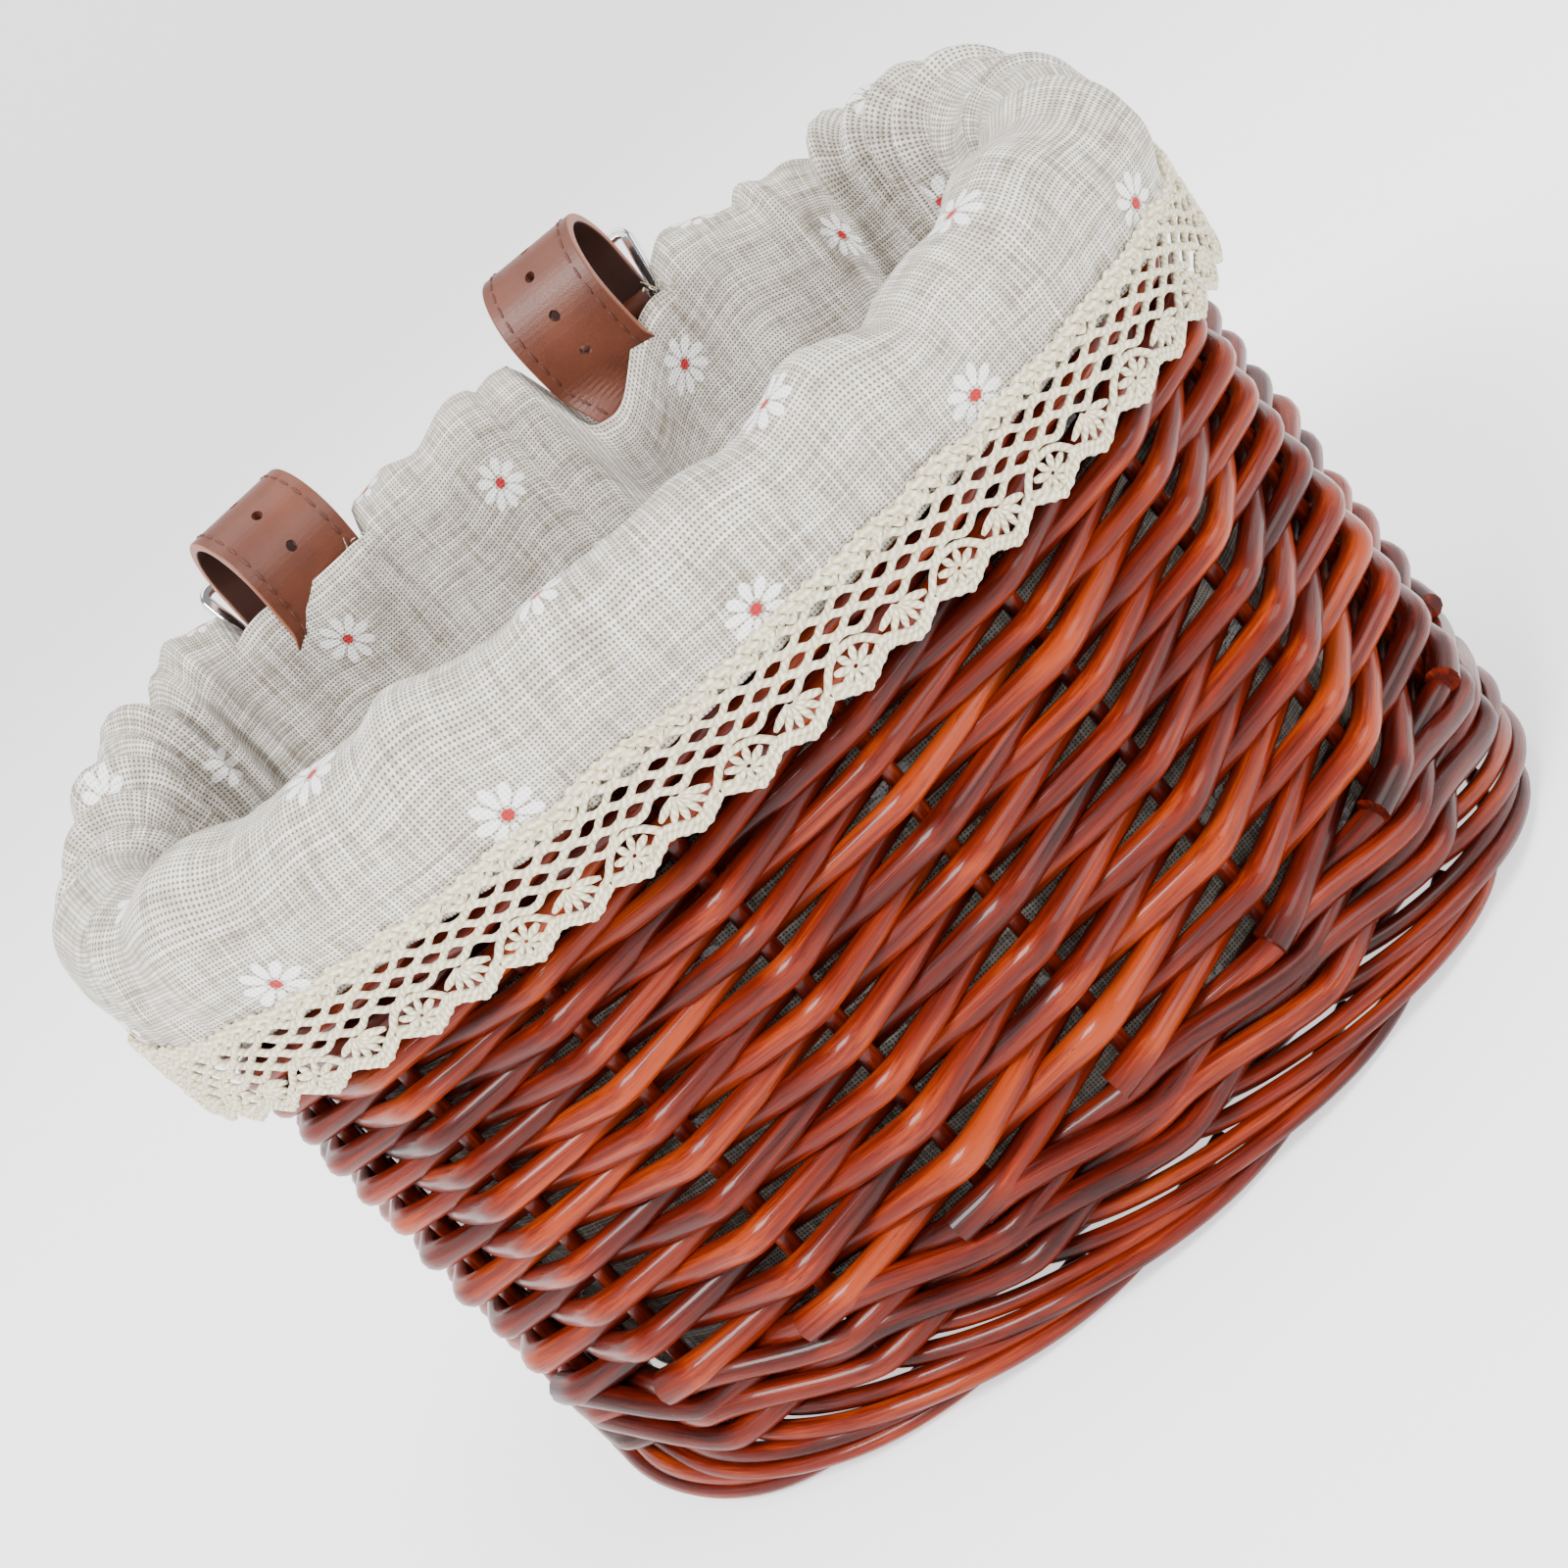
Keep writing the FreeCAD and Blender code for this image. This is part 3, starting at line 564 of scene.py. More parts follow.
# %% Laying one rod of the side weave
WEAVE_FOOT = 34.5
WEAVE_RISE = 4.45
WEAVE_STEPS = 24
BUTT_WIDTH = 6.5
TIP_WIDTH = 4.9
BUTT_LENGTH = 8.0
HALF_BEND = 1.8


def weave_height(step):
    """The height of a crossing: rows are further apart where the rods are thick."""
    share = step / WEAVE_STEPS
    return WEAVE_FOOT + WEAVE_RISE * WEAVE_STEPS * (share + 0.055 * math.sin(math.pi * share))


def stake_lift(number):
    """How far the rows at one stake are beaten down or left high."""
    return 1.1 * math.sin(2.3 * number) + 0.7 * math.sin(5.1 * number + 1)


def lay_weaver(first):
    """The rod that starts at stake `first`."""
    draw = random.Random(100 + first)
    scale = draw.uniform(0.93, 1.08)
    crossings = []
    for step in range(WEAVE_STEPS + 1):
        share = step / WEAVE_STEPS
        width = (BUTT_WIDTH + (TIP_WIDTH - BUTT_WIDTH) * share) * scale * draw.uniform(0.96, 1.06)
        side = 1 if step % 2 == 0 else -1
        offset = side * ((STAKE_WIDTH + width) / 2 - 0.2)
        height = weave_height(step) + stake_lift((first + step) % COUNT) * (1 - share * 0.5)
        height += draw.uniform(-0.5, 0.5)
        place = station(first + step) + draw.uniform(-1.2, 1.2)
        crossings.append((place, offset, height, width))
    return rod_mesh(f"weaver_{first + 1:02d}", *kinked_run(crossings, draw), draw.random(),
                    kinked_stain_and_shade(crossings), sides=4, steps=4)


def kinked_run(crossings, draw):
    """Points and widths of a rod that runs straight between sharp bends at its stakes."""
    rows = []
    butt = BUTT_LENGTH * draw.uniform(0.4, 1.0)
    place, offset, height, width = crossings[0]
    rows.append((place - butt, offset, height - 0.8, width * 1.02))
    for here, there in zip(crossings, crossings[1:]):
        start = np.array(here) + (HALF_BEND, 0, 0.3, 0)
        end = np.array(there) - (HALF_BEND, 0, 0.3, 0)
        for share, squeeze in [(0, 1.0), (0.13, 0.96), (0.5, 0.86), (0.87, 0.96), (1, 1.0)]:
            row = start + (end - start) * share
            row[3] *= squeeze
            rows.append(tuple(row))
    place, offset, height, width = crossings[-1]
    rows.append((place + BUTT_LENGTH * 0.7, offset, height + 0.8, width * 0.95))
    rows = np.array(rows)
    return around(rows[:, 0], rows[:, 1], rows[:, 2]), rows[:, 3]


def kinked_stain_and_shade(crossings):
    """Painted shade where a rod goes behind a stake, and darker stain at its cut ends."""
    values = [1.3]
    for here, there in zip(crossings, crossings[1:]):
        # Painted shade: the rod is darker where it runs behind its stake and paler in front.
        front = 0.0 if here[1] > 0 else 0.8
        values += [front, 0.25, 0.55, 0.25, 0.8 - front]
    return values + [1.3]


for number in range(COUNT):
    add_piece(f"willow_weaver_{number + 1:02d}", lay_weaver(number), WILLOW, "basket",
              [f"weaver_{number + 1:02d}"])
print(COUNT, "weavers, from", BUTT_WIDTH, "to", TIP_WIDTH, "mm thick")

# %% [markdown]
# ## The twined band at the foot
# Three stout rods are twined round the stakes: each passes in front of two stakes and
# behind one, and the three take turns. They go round twice, so the band looks like two
# loose ropes laid one on the other.

# %% Three-rod wale
WALE_ROUNDS = [21.6, 29.8]
WALE_LIFT = 3.4
WALE_WIDTH = 5.4


def lay_wale(strand):
    """One strand of the band, twice round the basket."""
    pattern = [(1, WALE_LIFT), (1, -WALE_LIFT), (-1, 0.0)]
    meshes = []
    for turn, middle in enumerate(WALE_ROUNDS):
        draw = random.Random(200 + strand + 10 * turn)
        rows, stain_and_shade = [], []
        for step in range(COUNT + 1):
            side, lift = pattern[(step + strand + turn) % 3]
            for near in (-1, 1):
                offset = side * ((STAKE_WIDTH + WALE_WIDTH) / 2 - 0.1)
                height = middle + lift + near * 0.5 + draw.uniform(-0.5, 0.5)
                rows.append((station(step) + 4.5 * near, offset, height,
                             WALE_WIDTH * draw.uniform(0.92, 1.1)))
                # Painted shade: a strand is darker where it passes behind a stake.
                stain_and_shade.append(0.5 if side > 0 else 0.9)
        rows = np.array(rows)
        points = around(rows[:, 0], rows[:, 1], rows[:, 2])
        meshes.append(rod_mesh(f"wale_{strand + 1}_{turn}", points, rows[:, 3],
                               draw.random() * 0.5, stain_and_shade, sides=4, steps=6))
    return join_meshes(f"wale_{strand + 1}", meshes)


for strand in range(3):
    add_piece(f"willow_wale_{strand + 1}", lay_wale(strand), WILLOW, "basket",
              [f"wale_rod_{strand + 1}"])

# %% [markdown]
# ## The foot border
# Under the band the stakes' lower ends are bent sideways, run on past three stakes along
# the ground and turn in. The loops are loose, and daylight shows between them.

# %% Foot loops
FOOT_WIDTH = 4.2


def lay_foot_loops():
    """Two rods side by side for each stake."""
    draw = random.Random(31)
    meshes = []
    for first in range(COUNT):
        for pair in range(2):
            steps = np.array([0.0, 0.12, 0.55, 1.0, 1.5, 2.0, 2.5, 2.9]) + 0.22 * pair
            offsets = np.array([0.0, 1.4, 4.2, 5.8, 5.6, 3.8, 0.0, -3.8]) - 1.6 * pair
            heights = np.array([14.6, 12.8, 10.0, 7.6, 4.6, 2.5, 3.0, 5.0]) + 1.8 * pair
            wobble = np.array([draw.uniform(-0.7, 0.7) for _ in steps])
            stations = [station(first + i) for i in range(5)]
            places = np.interp(steps, range(5), stations)
            points = around(places, offsets + wobble, np.maximum(heights + wobble, 2.4))
            widths = np.linspace(1.0, 0.84, len(steps)) * FOOT_WIDTH * draw.uniform(0.88, 1.1)
            meshes.append(rod_mesh(f"foot_{first + 1}_{pair}", points, widths,
                                   draw.random() * 0.7, [1.2, 0.3, 0.4, 0.3, 0.4, 1.2],
                                   sides=3, steps=6))
    return add_piece("willow_foot_border", join_meshes("willow_foot_border", meshes), WILLOW,
                     "basket", ["foot_border"])


foot = lay_foot_loops()
print("foot border:", len(foot.data.polygons), "faces")

# %% [markdown]
# ## Printed linen
# The liner is an open plain weave: each thread goes over one and under the next, and there
# are small holes between. Some threads are thicker or darker than others. Daisies are
# printed on the flat cloth before it is sewn, so the print is worked out in the cloth's
# own flat coordinates and follows every fold. Two node groups do this: one for the weave,
# one for the print.

# %% The weave and the print as node groups
THREAD = 0.78         # from thread to thread
DAISY_ALONG = 49.0    # from daisy to daisy in a row
DAISY_ROW = 25.5      # from row to row


def linen_group():
    """A plain weave from flat coordinates in metres: a shade, a hole mask and a height."""
    tree, nodes, given, result = new_group(
        "plain weave", {"Flat": ("vector", None)},
        {"Shade": "value", "Holes": "value", "Height": "value"})
    wander = nodes.noise(nodes.stretch(given["Flat"], (60, 60, 60)), 1.0, 2.0)
    scaled = nodes.stretch(given["Flat"], (1 / (THREAD * MM),) * 3)
    split = nodes.add("ShaderNodeSeparateXYZ", {0: scaled})
    warp = nodes.math("ADD", split.outputs[0], nodes.math("MULTIPLY", wander, 1.5))
    weft = nodes.math("ADD", split.outputs[1], nodes.math("MULTIPLY", wander, 1.2))
    warp_number = nodes.math("FLOOR", warp)
    weft_number = nodes.math("FLOOR", weft)
    warp_round = nodes.math("SINE", nodes.math("MULTIPLY", nodes.math("FRACT", warp), math.pi))
    weft_round = nodes.math("SINE", nodes.math("MULTIPLY", nodes.math("FRACT", weft), math.pi))
    parity = nodes.math("MULTIPLY", nodes.math("FRACT", nodes.math(
        "MULTIPLY", nodes.math("ADD", warp_number, weft_number), 0.5)), 2.0)
    warp_high = nodes.math("MULTIPLY", warp_round, nodes.span(parity, 0, 1, 0.72, 1.0))
    weft_high = nodes.math("MULTIPLY", weft_round, nodes.span(parity, 0, 1, 1.0, 0.72))
    height = nodes.math("MAXIMUM", warp_high, weft_high)
    warp_at = nodes.add("ShaderNodeCombineXYZ", {0: warp_number,
                                                 1: nodes.math("MULTIPLY", weft, 0.045)})
    weft_at = nodes.add("ShaderNodeCombineXYZ", {1: weft_number, 2: 7.0,
                                                 0: nodes.math("MULTIPLY", warp, 0.045)})
    warp_tone = nodes.noise(warp_at.outputs[0], 1.37, 2.0)
    weft_tone = nodes.noise(weft_at.outputs[0], 1.37, 2.0)
    tone = nodes.math("ADD", nodes.math("MULTIPLY", warp_tone, 0.5),
                      nodes.math("MULTIPLY", weft_tone, 0.5))
    nodes.put(result["Shade"], nodes.span(tone, 0.34, 0.66))
    nodes.put(result["Holes"], nodes.span(height, 0.38, 0.76, 1.0, 0.0))
    nodes.put(result["Height"], nodes.math("ADD", height, nodes.math("MULTIPLY", tone, 0.5)))
    return tree


PETAL_REACH = (5.4, 6.1)
PETALS = 9


def daisy_group():
    """Staggered rows of daisies: a petal mask and a centre mask."""
    tree, nodes, given, result = new_group(
        "printed daisies", {"Flat": ("vector", None)}, {"Petals": "value", "Centre": "value"})
    split = nodes.add("ShaderNodeSeparateXYZ", {0: nodes.stretch(given["Flat"], (1000,) * 3)})
    row = nodes.math("DIVIDE", split.outputs[1], DAISY_ROW)
    row_number = nodes.math("FLOOR", row)
    stagger = nodes.math("FRACT", nodes.math("MULTIPLY", row_number, 0.5))
    column = nodes.math("ADD", nodes.math("DIVIDE", split.outputs[0], DAISY_ALONG), stagger)
    cell = nodes.add("ShaderNodeCombineXYZ", {0: nodes.math("FLOOR", column), 1: row_number})
    luck = nodes.add("ShaderNodeTexWhiteNoise", {"Vector": cell.outputs[0]},
                     noise_dimensions="3D").outputs["Value"]
    across = nodes.math("MULTIPLY", nodes.math("SUBTRACT", nodes.math("FRACT", column), 0.5),
                        DAISY_ALONG)
    down = nodes.math("MULTIPLY", nodes.math("SUBTRACT", nodes.math("FRACT", row), 0.5),
                      DAISY_ROW)
    away = nodes.math("SQRT", nodes.math("ADD", nodes.math("MULTIPLY", across, across),
                                         nodes.math("MULTIPLY", down, down)))
    angle = nodes.math("ARCTAN2", down, across)
    angle = nodes.math("ADD", angle, nodes.math("MULTIPLY", luck, 6.0))
    lobes = nodes.math("ABSOLUTE", nodes.math("COSINE", nodes.math(
        "MULTIPLY", angle, PETALS / 2)))
    lobes = nodes.math("POWER", lobes, 0.55)
    reach = nodes.math("MULTIPLY", nodes.span(lobes, 0, 1, 0.28, 1.0),
                       nodes.span(luck, 0, 1, *PETAL_REACH))
    petals = nodes.span(nodes.math("SUBTRACT", reach, away), -0.15, 0.25)
    petals = nodes.math("MULTIPLY", petals, nodes.span(away, 1.5, 1.9))
    petals = nodes.math("MULTIPLY", petals, nodes.span(lobes, 0.5, 0.68))
    nodes.put(result["Petals"], petals)
    nodes.put(result["Centre"], nodes.span(away, 0.95, 1.25, 1.0, 0.0))
    return tree


PLAIN_WEAVE = linen_group()
DAISIES = daisy_group()
PRINT_START = (9.6, -14.5)
THREAD_DARK = (0.31, 0.268, 0.208, 1)
THREAD_PALE = (0.86, 0.820, 0.750, 1)
PETAL_WHITE = (0.98, 0.98, 0.98, 1)
CENTRE_RED = (0.50, 0.004, 0.016, 1)
HOLE_SHADE = (0.085, 0.066, 0.046, 1)


def linen_material(name, flat):
    """Printed linen that reads flat coordinates in metres."""
    material, nodes, shader = new_material(name)
    place = flat(nodes)
    weave = use_group(nodes, PLAIN_WEAVE, {"Flat": place})
    start = nodes.add("ShaderNodeMapping", {
        "Vector": place, "Location": (PRINT_START[0] * MM, PRINT_START[1] * MM, 0)})
    print_on = use_group(nodes, DAISIES, {"Flat": start.outputs["Vector"]})
    cloth = nodes.blend(weave["Shade"], THREAD_DARK, THREAD_PALE)
    inked = nodes.blend(nodes.math("MULTIPLY", print_on["Petals"], 0.92), cloth, PETAL_WHITE)
    inked = nodes.blend(print_on["Centre"], inked, CENTRE_RED)
    # The ink fills most of the small holes between the threads.
    open_share = nodes.span(print_on["Petals"], 0, 1, 0.92, 0.30)
    colour = nodes.blend(nodes.math("MULTIPLY", weave["Holes"], open_share), inked,
                         HOLE_SHADE)
    nodes.put(shader.inputs["Base Color"], colour)
    shader.inputs["Roughness"].default_value = 0.9
    shader.inputs["Specular IOR Level"].default_value = 0.2
    shader.inputs["Sheen Weight"].default_value = 0.1
    bump = nodes.add("ShaderNodeBump", {"Strength": 0.8, "Distance": 0.35 * MM,
                                        "Height": weave["Height"]})
    nodes.put(shader.inputs["Normal"], bump.outputs["Normal"])
    return material


def object_place(nodes):
    """Object coordinates."""
    return nodes.add("ShaderNodeTexCoord").outputs["Object"]


LINEN = linen_material("printed linen", attribute_reader("flat", "Vector"))
FLOOR_LINEN = linen_material("printed linen, floor", object_place)
floor_mesh = frame["nodes"]["liner_floor"].data
floor_mesh.materials.clear()
floor_mesh.materials.append(FLOOR_LINEN)
print("plain weave:", len(PLAIN_WEAVE.nodes), "nodes; daisies:", len(DAISIES.nodes), "nodes")

# %% [markdown]
# ## The linen bag
# The bag is one long strip sewn to a ring: up the inside of the basket, over the rim and
# down the outside to the hem. It is made here as a flat grid, cut and then bent, the way
# it is sewn. One side of the grid is the distance round the basket, the other the distance
# along the cloth from the floor's edge.

# %% The bag's cross-section
FOLD_RADIUS = 9.4
FOLD_AXIS = 160.3
HEM_OFFSET = 13.2     # the hem and the wall's foot stand this far from the stakes
WALL_START = FLOOR + 0.4
WALL_LENGTH = FOLD_AXIS - WALL_START
FOLD_LENGTH = math.pi * FOLD_RADIUS
CUFF_LENGTH = 20.5
CLOTH_LENGTH = WALL_LENGTH + FOLD_LENGTH + CUFF_LENGTH


def smoothstep(value, low, high):
    """A smooth rise from 0 to 1 between two values."""
    share = np.clip((value - low) / (high - low), 0, 1)
    return share * share * (3 - 2 * share)


def cloth_profile(along):
    """Offset, height and outward direction at a distance along the cloth."""
    angle = np.clip((along - WALL_LENGTH) / FOLD_RADIUS, 0, math.pi)
    offset = -FOLD_RADIUS * np.cos(angle)
    height = FOLD_AXIS + FOLD_RADIUS * np.sin(angle)
    height = height - np.clip(WALL_LENGTH - along, 0, None)
    height = height - np.clip(along - WALL_LENGTH - FOLD_LENGTH, 0, None)
    flare = smoothstep(along, WALL_LENGTH + FOLD_LENGTH * 0.6, CLOTH_LENGTH)
    offset = offset + (HEM_OFFSET - FOLD_RADIUS) * flare
    foot = 1 - smoothstep(along, 0, 40)
    offset = offset - (HEM_OFFSET - FOLD_RADIUS) * foot
    return offset, height, -np.cos(angle), np.sin(angle)


print("the cloth is", round(CLOTH_LENGTH), "mm from floor to hem")

# %% [markdown]
# Each strap comes up through the cloth, so the strip gets two slits at each strap: one on
# the inside and one on the outside. The bridge of cloth between them hugs the rim inside
# the strap's loop.

# %% Slits for the straps
STRAP_PLACES = {side: joint["pos_m"][0] / MM for side in ("left", "right")
                for joint in frame["joints"] if joint["name"] == f"{side}_strap_swing"}
STRAP_EDGE = (14.2, 20.5)     # the cloth minds a strap fully, and no longer, from its middle
BRIDGE_RADIUS = 8.2
SLIT_IN = WALL_LENGTH + 4.0
SLIT_OUT = WALL_LENGTH + FOLD_LENGTH + 3.8
SLIT_GAP = 0.35
SLIT_SHARE = 0.06     # the cut runs on to where a strap counts for this little


def strap_distance(distance, side):
    """Signed distance across the strap, from its middle, growing to the right."""
    across = (np.asarray(distance) + STRAP_PLACES[side] + GIRTH / 2) % GIRTH - GIRTH / 2
    return -across


def at_strap(distance):
    """1 at a strap, 0 away from both."""
    nearest = np.minimum(*[np.abs(strap_distance(distance, side)) for side in STRAP_PLACES])
    return 1 - smoothstep(nearest, *STRAP_EDGE)


def bridge_profile(along):
    """Offset and height of the bridge of cloth between a strap's two slits."""
    share = (along - SLIT_IN) / (SLIT_OUT - SLIT_IN)
    angle = -0.25 + share * (math.pi + 0.6)
    return -BRIDGE_RADIUS * np.cos(angle), RIM_AXIS + BRIDGE_RADIUS * np.sin(angle)


# %% [markdown]
# The cloth is slack, so it puffs at the cuff, sags inside, and bunches at the two back
# corners where the bag is too big for the basket. A crease is a ridge with a valley beside
# it. Broad slow noise carries the slackness, and short ripples run along the elastic hem.

# %% Folds and slack
CREASES = [
    # place round, width, depth, from and to along the cloth, slant
    (88.0, 3.6, 3.4, 70.0, 172.0, 0.10),
    (98.0, 3.0, 3.8, 88.0, 182.0, -0.12),
    (107.0, 3.4, 4.4, 60.0, 178.0, 0.06),
    (117.0, 2.8, 3.6, 84.0, 186.0, -0.20),
    (127.0, 3.6, 4.2, 96.0, 188.0, -0.30),
    (140.0, 4.0, 3.2, 104.0, 186.0, 0.24),
    (156.0, 4.4, 2.4, 110.0, 184.0, -0.18),
    (224.0, 5.5, 1.9, 120.0, 190.0, 0.40),
    (300.0, 7.0, 1.2, 130.0, 186.0, -0.50),
    (392.0, 8.0, 2.2, 128.0, 178.0, 0.70),
    (474.0, 6.0, 2.0, 120.0, 190.0, -0.35),
    (540.0, 5.0, 2.8, 100.0, 186.0, 0.20),
    (556.0, 3.8, 5.6, 66.0, 184.0, -0.10),
    (570.0, 3.2, 4.4, 92.0, 182.0, 0.16),
    (583.0, 3.0, 3.4, 80.0, 176.0, -0.12),
    (597.0, 3.6, 5.2, 84.0, 180.0, -0.34),
    (612.0, 3.2, 3.0, 104.0, 172.0, 0.28),
    (640.0, 5.0, 2.2, 112.0, 168.0, -0.40),
    (20.0, 5.0, 1.8, 108.0, 166.0, 0.45),
]
SEAMS = [172.0, 521.0]
LEAST_PUSH = -1.2             # any lower and the cloth would meet the rim
FRONT_DIP = (GIRTH / 2 + 44.0, 24.0, 2.4)     # place round, width, depth
LOWEST_LIFT = -3.2
WALL_GIVE = 5.6               # how far inwards the wall stands below a strap's slit


def noise_field(distance, along, scale, stretch, seed):
    """Smooth noise over the cloth, joined up round the basket."""
    points = around(distance, 0.0, 0.0)[:, :2] / MM
    values = [noise.noise(Vector((x / scale, y / scale, s / stretch + seed)))
              for (x, y), s in zip(points, along)]
    return np.array(values)


def creases(distance, along):
    """The sum of all creases."""
    total = np.zeros_like(distance)
    for place, width, depth, low, high, slant in CREASES:
        middle = place + slant * (along - (low + high) / 2) * 0.6
        away = ((distance - middle + GIRTH / 2) % GIRTH - GIRTH / 2) / width
        window = smoothstep(along, low, low + 34) * (1 - smoothstep(along, high - 14, high + 6))
        total += depth * window * (np.exp(-away ** 2) - 0.55 * np.exp(-(away - 1.7) ** 2))
    return total


def cloth_push(distance, along):
    """How far the cloth stands off its plain cross-section."""
    broad = noise_field(distance, along, 46, 70, 3.1)
    medium = noise_field(distance, along, 19, 34, 8.7)
    fine = noise_field(distance, along, 7.5, 16, 5.3)
    push = 0.5 + 3.0 * broad + 1.9 * medium + 0.8 * fine + creases(distance, along)
    cuff = (along - WALL_LENGTH - FOLD_LENGTH * 0.55) / (CLOTH_LENGTH - WALL_LENGTH
                                                         - FOLD_LENGTH * 0.55)
    push += 2.4 * np.sin(np.clip(cuff, 0, 1) * math.pi) ** 0.8
    for seam in SEAMS:
        away = (distance - seam + GIRTH / 2) % GIRTH - GIRTH / 2
        push += smoothstep(along, 60, 100) * (1.9 * np.exp(-(away / 1.5) ** 2)
                                              - 1.6 * np.exp(-((away - 3.4) / 2.4) ** 2))
    hem = smoothstep(along, CLOTH_LENGTH - 16, CLOTH_LENGTH)
    ripple = np.sin(distance * math.tau / 7.1 + 2.5 * broad)
    push = push * (1 - 0.8 * hem) + hem * (0.55 * ripple - 0.3)
    foot = smoothstep(along, 0, 22)
    return np.maximum(push * foot, LEAST_PUSH)


def fold_lift(distance):
    """How much higher the fold stands than at the front's corners.

    The cloth stands tall along the back and sinks a little in front.
    """
    back = np.abs((np.asarray(distance) + GIRTH / 2) % GIRTH - GIRTH / 2)
    left = np.asarray(distance) % GIRTH < GIRTH / 2
    rise = np.where(left, 13.0 * (1 - smoothstep(back, 84, 150)),
                    11.0 * (1 - smoothstep(back, 30, 165)))
    sway = 1.3 * np.sin(back / 9.5 + 1.0) + 0.9 * np.sin(back / 4.3)
    place, width, depth = FRONT_DIP
    lift = rise + sway - depth * np.exp(-((distance - place) / width) ** 2)
    return np.maximum(lift, LOWEST_LIFT)


def bend_cloth(distance, along):
    """Places, in metres, of points given round and along the cloth."""
    offset, height, out, up = cloth_profile(along)
    push = cloth_push(distance, along)
    strap = at_strap(distance)
    inside = along < SLIT_IN
    on_bridge = (along > SLIT_IN) * (along < SLIT_OUT)
    # The fold stands higher along the back, but not on the cuff behind a strap.
    outside = along > WALL_LENGTH + FOLD_LENGTH / 2
    share = smoothstep(along, WALL_LENGTH - 70, WALL_LENGTH)
    share = share * (1 - smoothstep(along, WALL_LENGTH + FOLD_LENGTH * 0.7, CLOTH_LENGTH - 5))
    height = height + fold_lift(distance) * share * (1 - strap * outside)
    # A strap presses the cloth flat, and the wall below it gives way inwards.
    below = smoothstep(along, SLIT_IN - 30, SLIT_IN - 5) * inside
    beyond = (1 - smoothstep(along, SLIT_OUT, SLIT_OUT + 8)) * (along > SLIT_OUT)
    push = push * (1 - 0.85 * strap * np.maximum(below, np.maximum(beyond, on_bridge)))
    push = push + strap * below * WALL_GIVE
    offset = offset + out * push
    height = height + up * push
    # The lower lip of each inner slit droops: a little at the left, more at the right.
    left = strap_distance(distance, "left")
    right = strap_distance(distance, "right")
    lip = -3.0 * np.exp(-((left + 1.0) / 7.5) ** 2)
    lip = lip - 15.0 * (1 - smoothstep(right, -10, 15)) * (np.abs(right) < 21)
    height = height + lip * strap * smoothstep(along, SLIT_IN - 60, SLIT_IN) * inside
    # Between its slits the cloth hugs the rim.
    bridge_offset, bridge_height = bridge_profile(along)
    offset = offset + (bridge_offset - offset) * strap * on_bridge
    height = height + (bridge_height - height) * strap * on_bridge
    return around(distance, offset, height)


# %% [markdown]
# Now the strip itself. The grid has a row just below and just above each slit, and the
# faces between those rows are cut out where a strap passes.

# %% Cutting and bending the strip
CLOTH_THICK = 0.6


def make_bag():
    """The liner's wall, fold and cuff as one bent sheet."""
    columns = 520
    rows = np.concatenate([
        np.linspace(0, SLIT_IN - SLIT_GAP, 50), np.linspace(SLIT_IN + SLIT_GAP,
                                                            SLIT_OUT - SLIT_GAP, 30),
        np.linspace(SLIT_OUT + SLIT_GAP, CLOTH_LENGTH, 14)])
    shape = bmesh.new()
    bmesh.ops.create_grid(shape, x_segments=columns, y_segments=len(rows) - 1, size=0.5)
    distance = np.array([SEAMS[0] + (v.co.x + 0.5) * GIRTH for v in shape.verts])
    index = np.array([round((v.co.y + 0.5) * (len(rows) - 1)) for v in shape.verts])
    along = rows[index]
    slit_rows = {np.searchsorted(rows, SLIT_IN) - 1, np.searchsorted(rows, SLIT_OUT) - 1}
    doomed = []
    for face in shape.faces:
        lowest = min(index[v.index] for v in face.verts)
        if lowest in slit_rows:
            middle = np.mean([distance[v.index] for v in face.verts])
            if at_strap(middle) > SLIT_SHARE:
                doomed.append(face)
    bmesh.ops.delete(shape, geom=doomed, context="FACES_ONLY")
    mesh = bpy.data.meshes.new("linen_bag")
    shape.to_mesh(mesh)
    shape.free()
    set_attribute(mesh, "flat", "FLOAT_VECTOR",
                  np.stack([distance, along, np.zeros_like(along)], 1) * MM)
    move_points(mesh, bend_cloth(distance, along))
    smooth(mesh)
    bag = add_piece("linen_bag", mesh, LINEN, "basket", ["liner_wall", "liner_cuff"])
    thick = bag.modifiers.new("thickness", "SOLIDIFY")
    thick.thickness = CLOTH_THICK * MM
    thick.offset = 0.0
    return bag


bag = make_bag()
print("bag:", len(bag.data.polygons), "faces before it gets its thickness")

# %% [markdown]
# ## The lace edging
# Cotton bobbin lace hangs from the hem. It is worked from thick plaited threads: a zigzag
# heading, rows of lens-shaped eyelets, a row of spiders and fans, and a scalloped edge
# with points. One repeat is laid out flat with curves, repeated with an Array modifier
# and then bent round the basket.

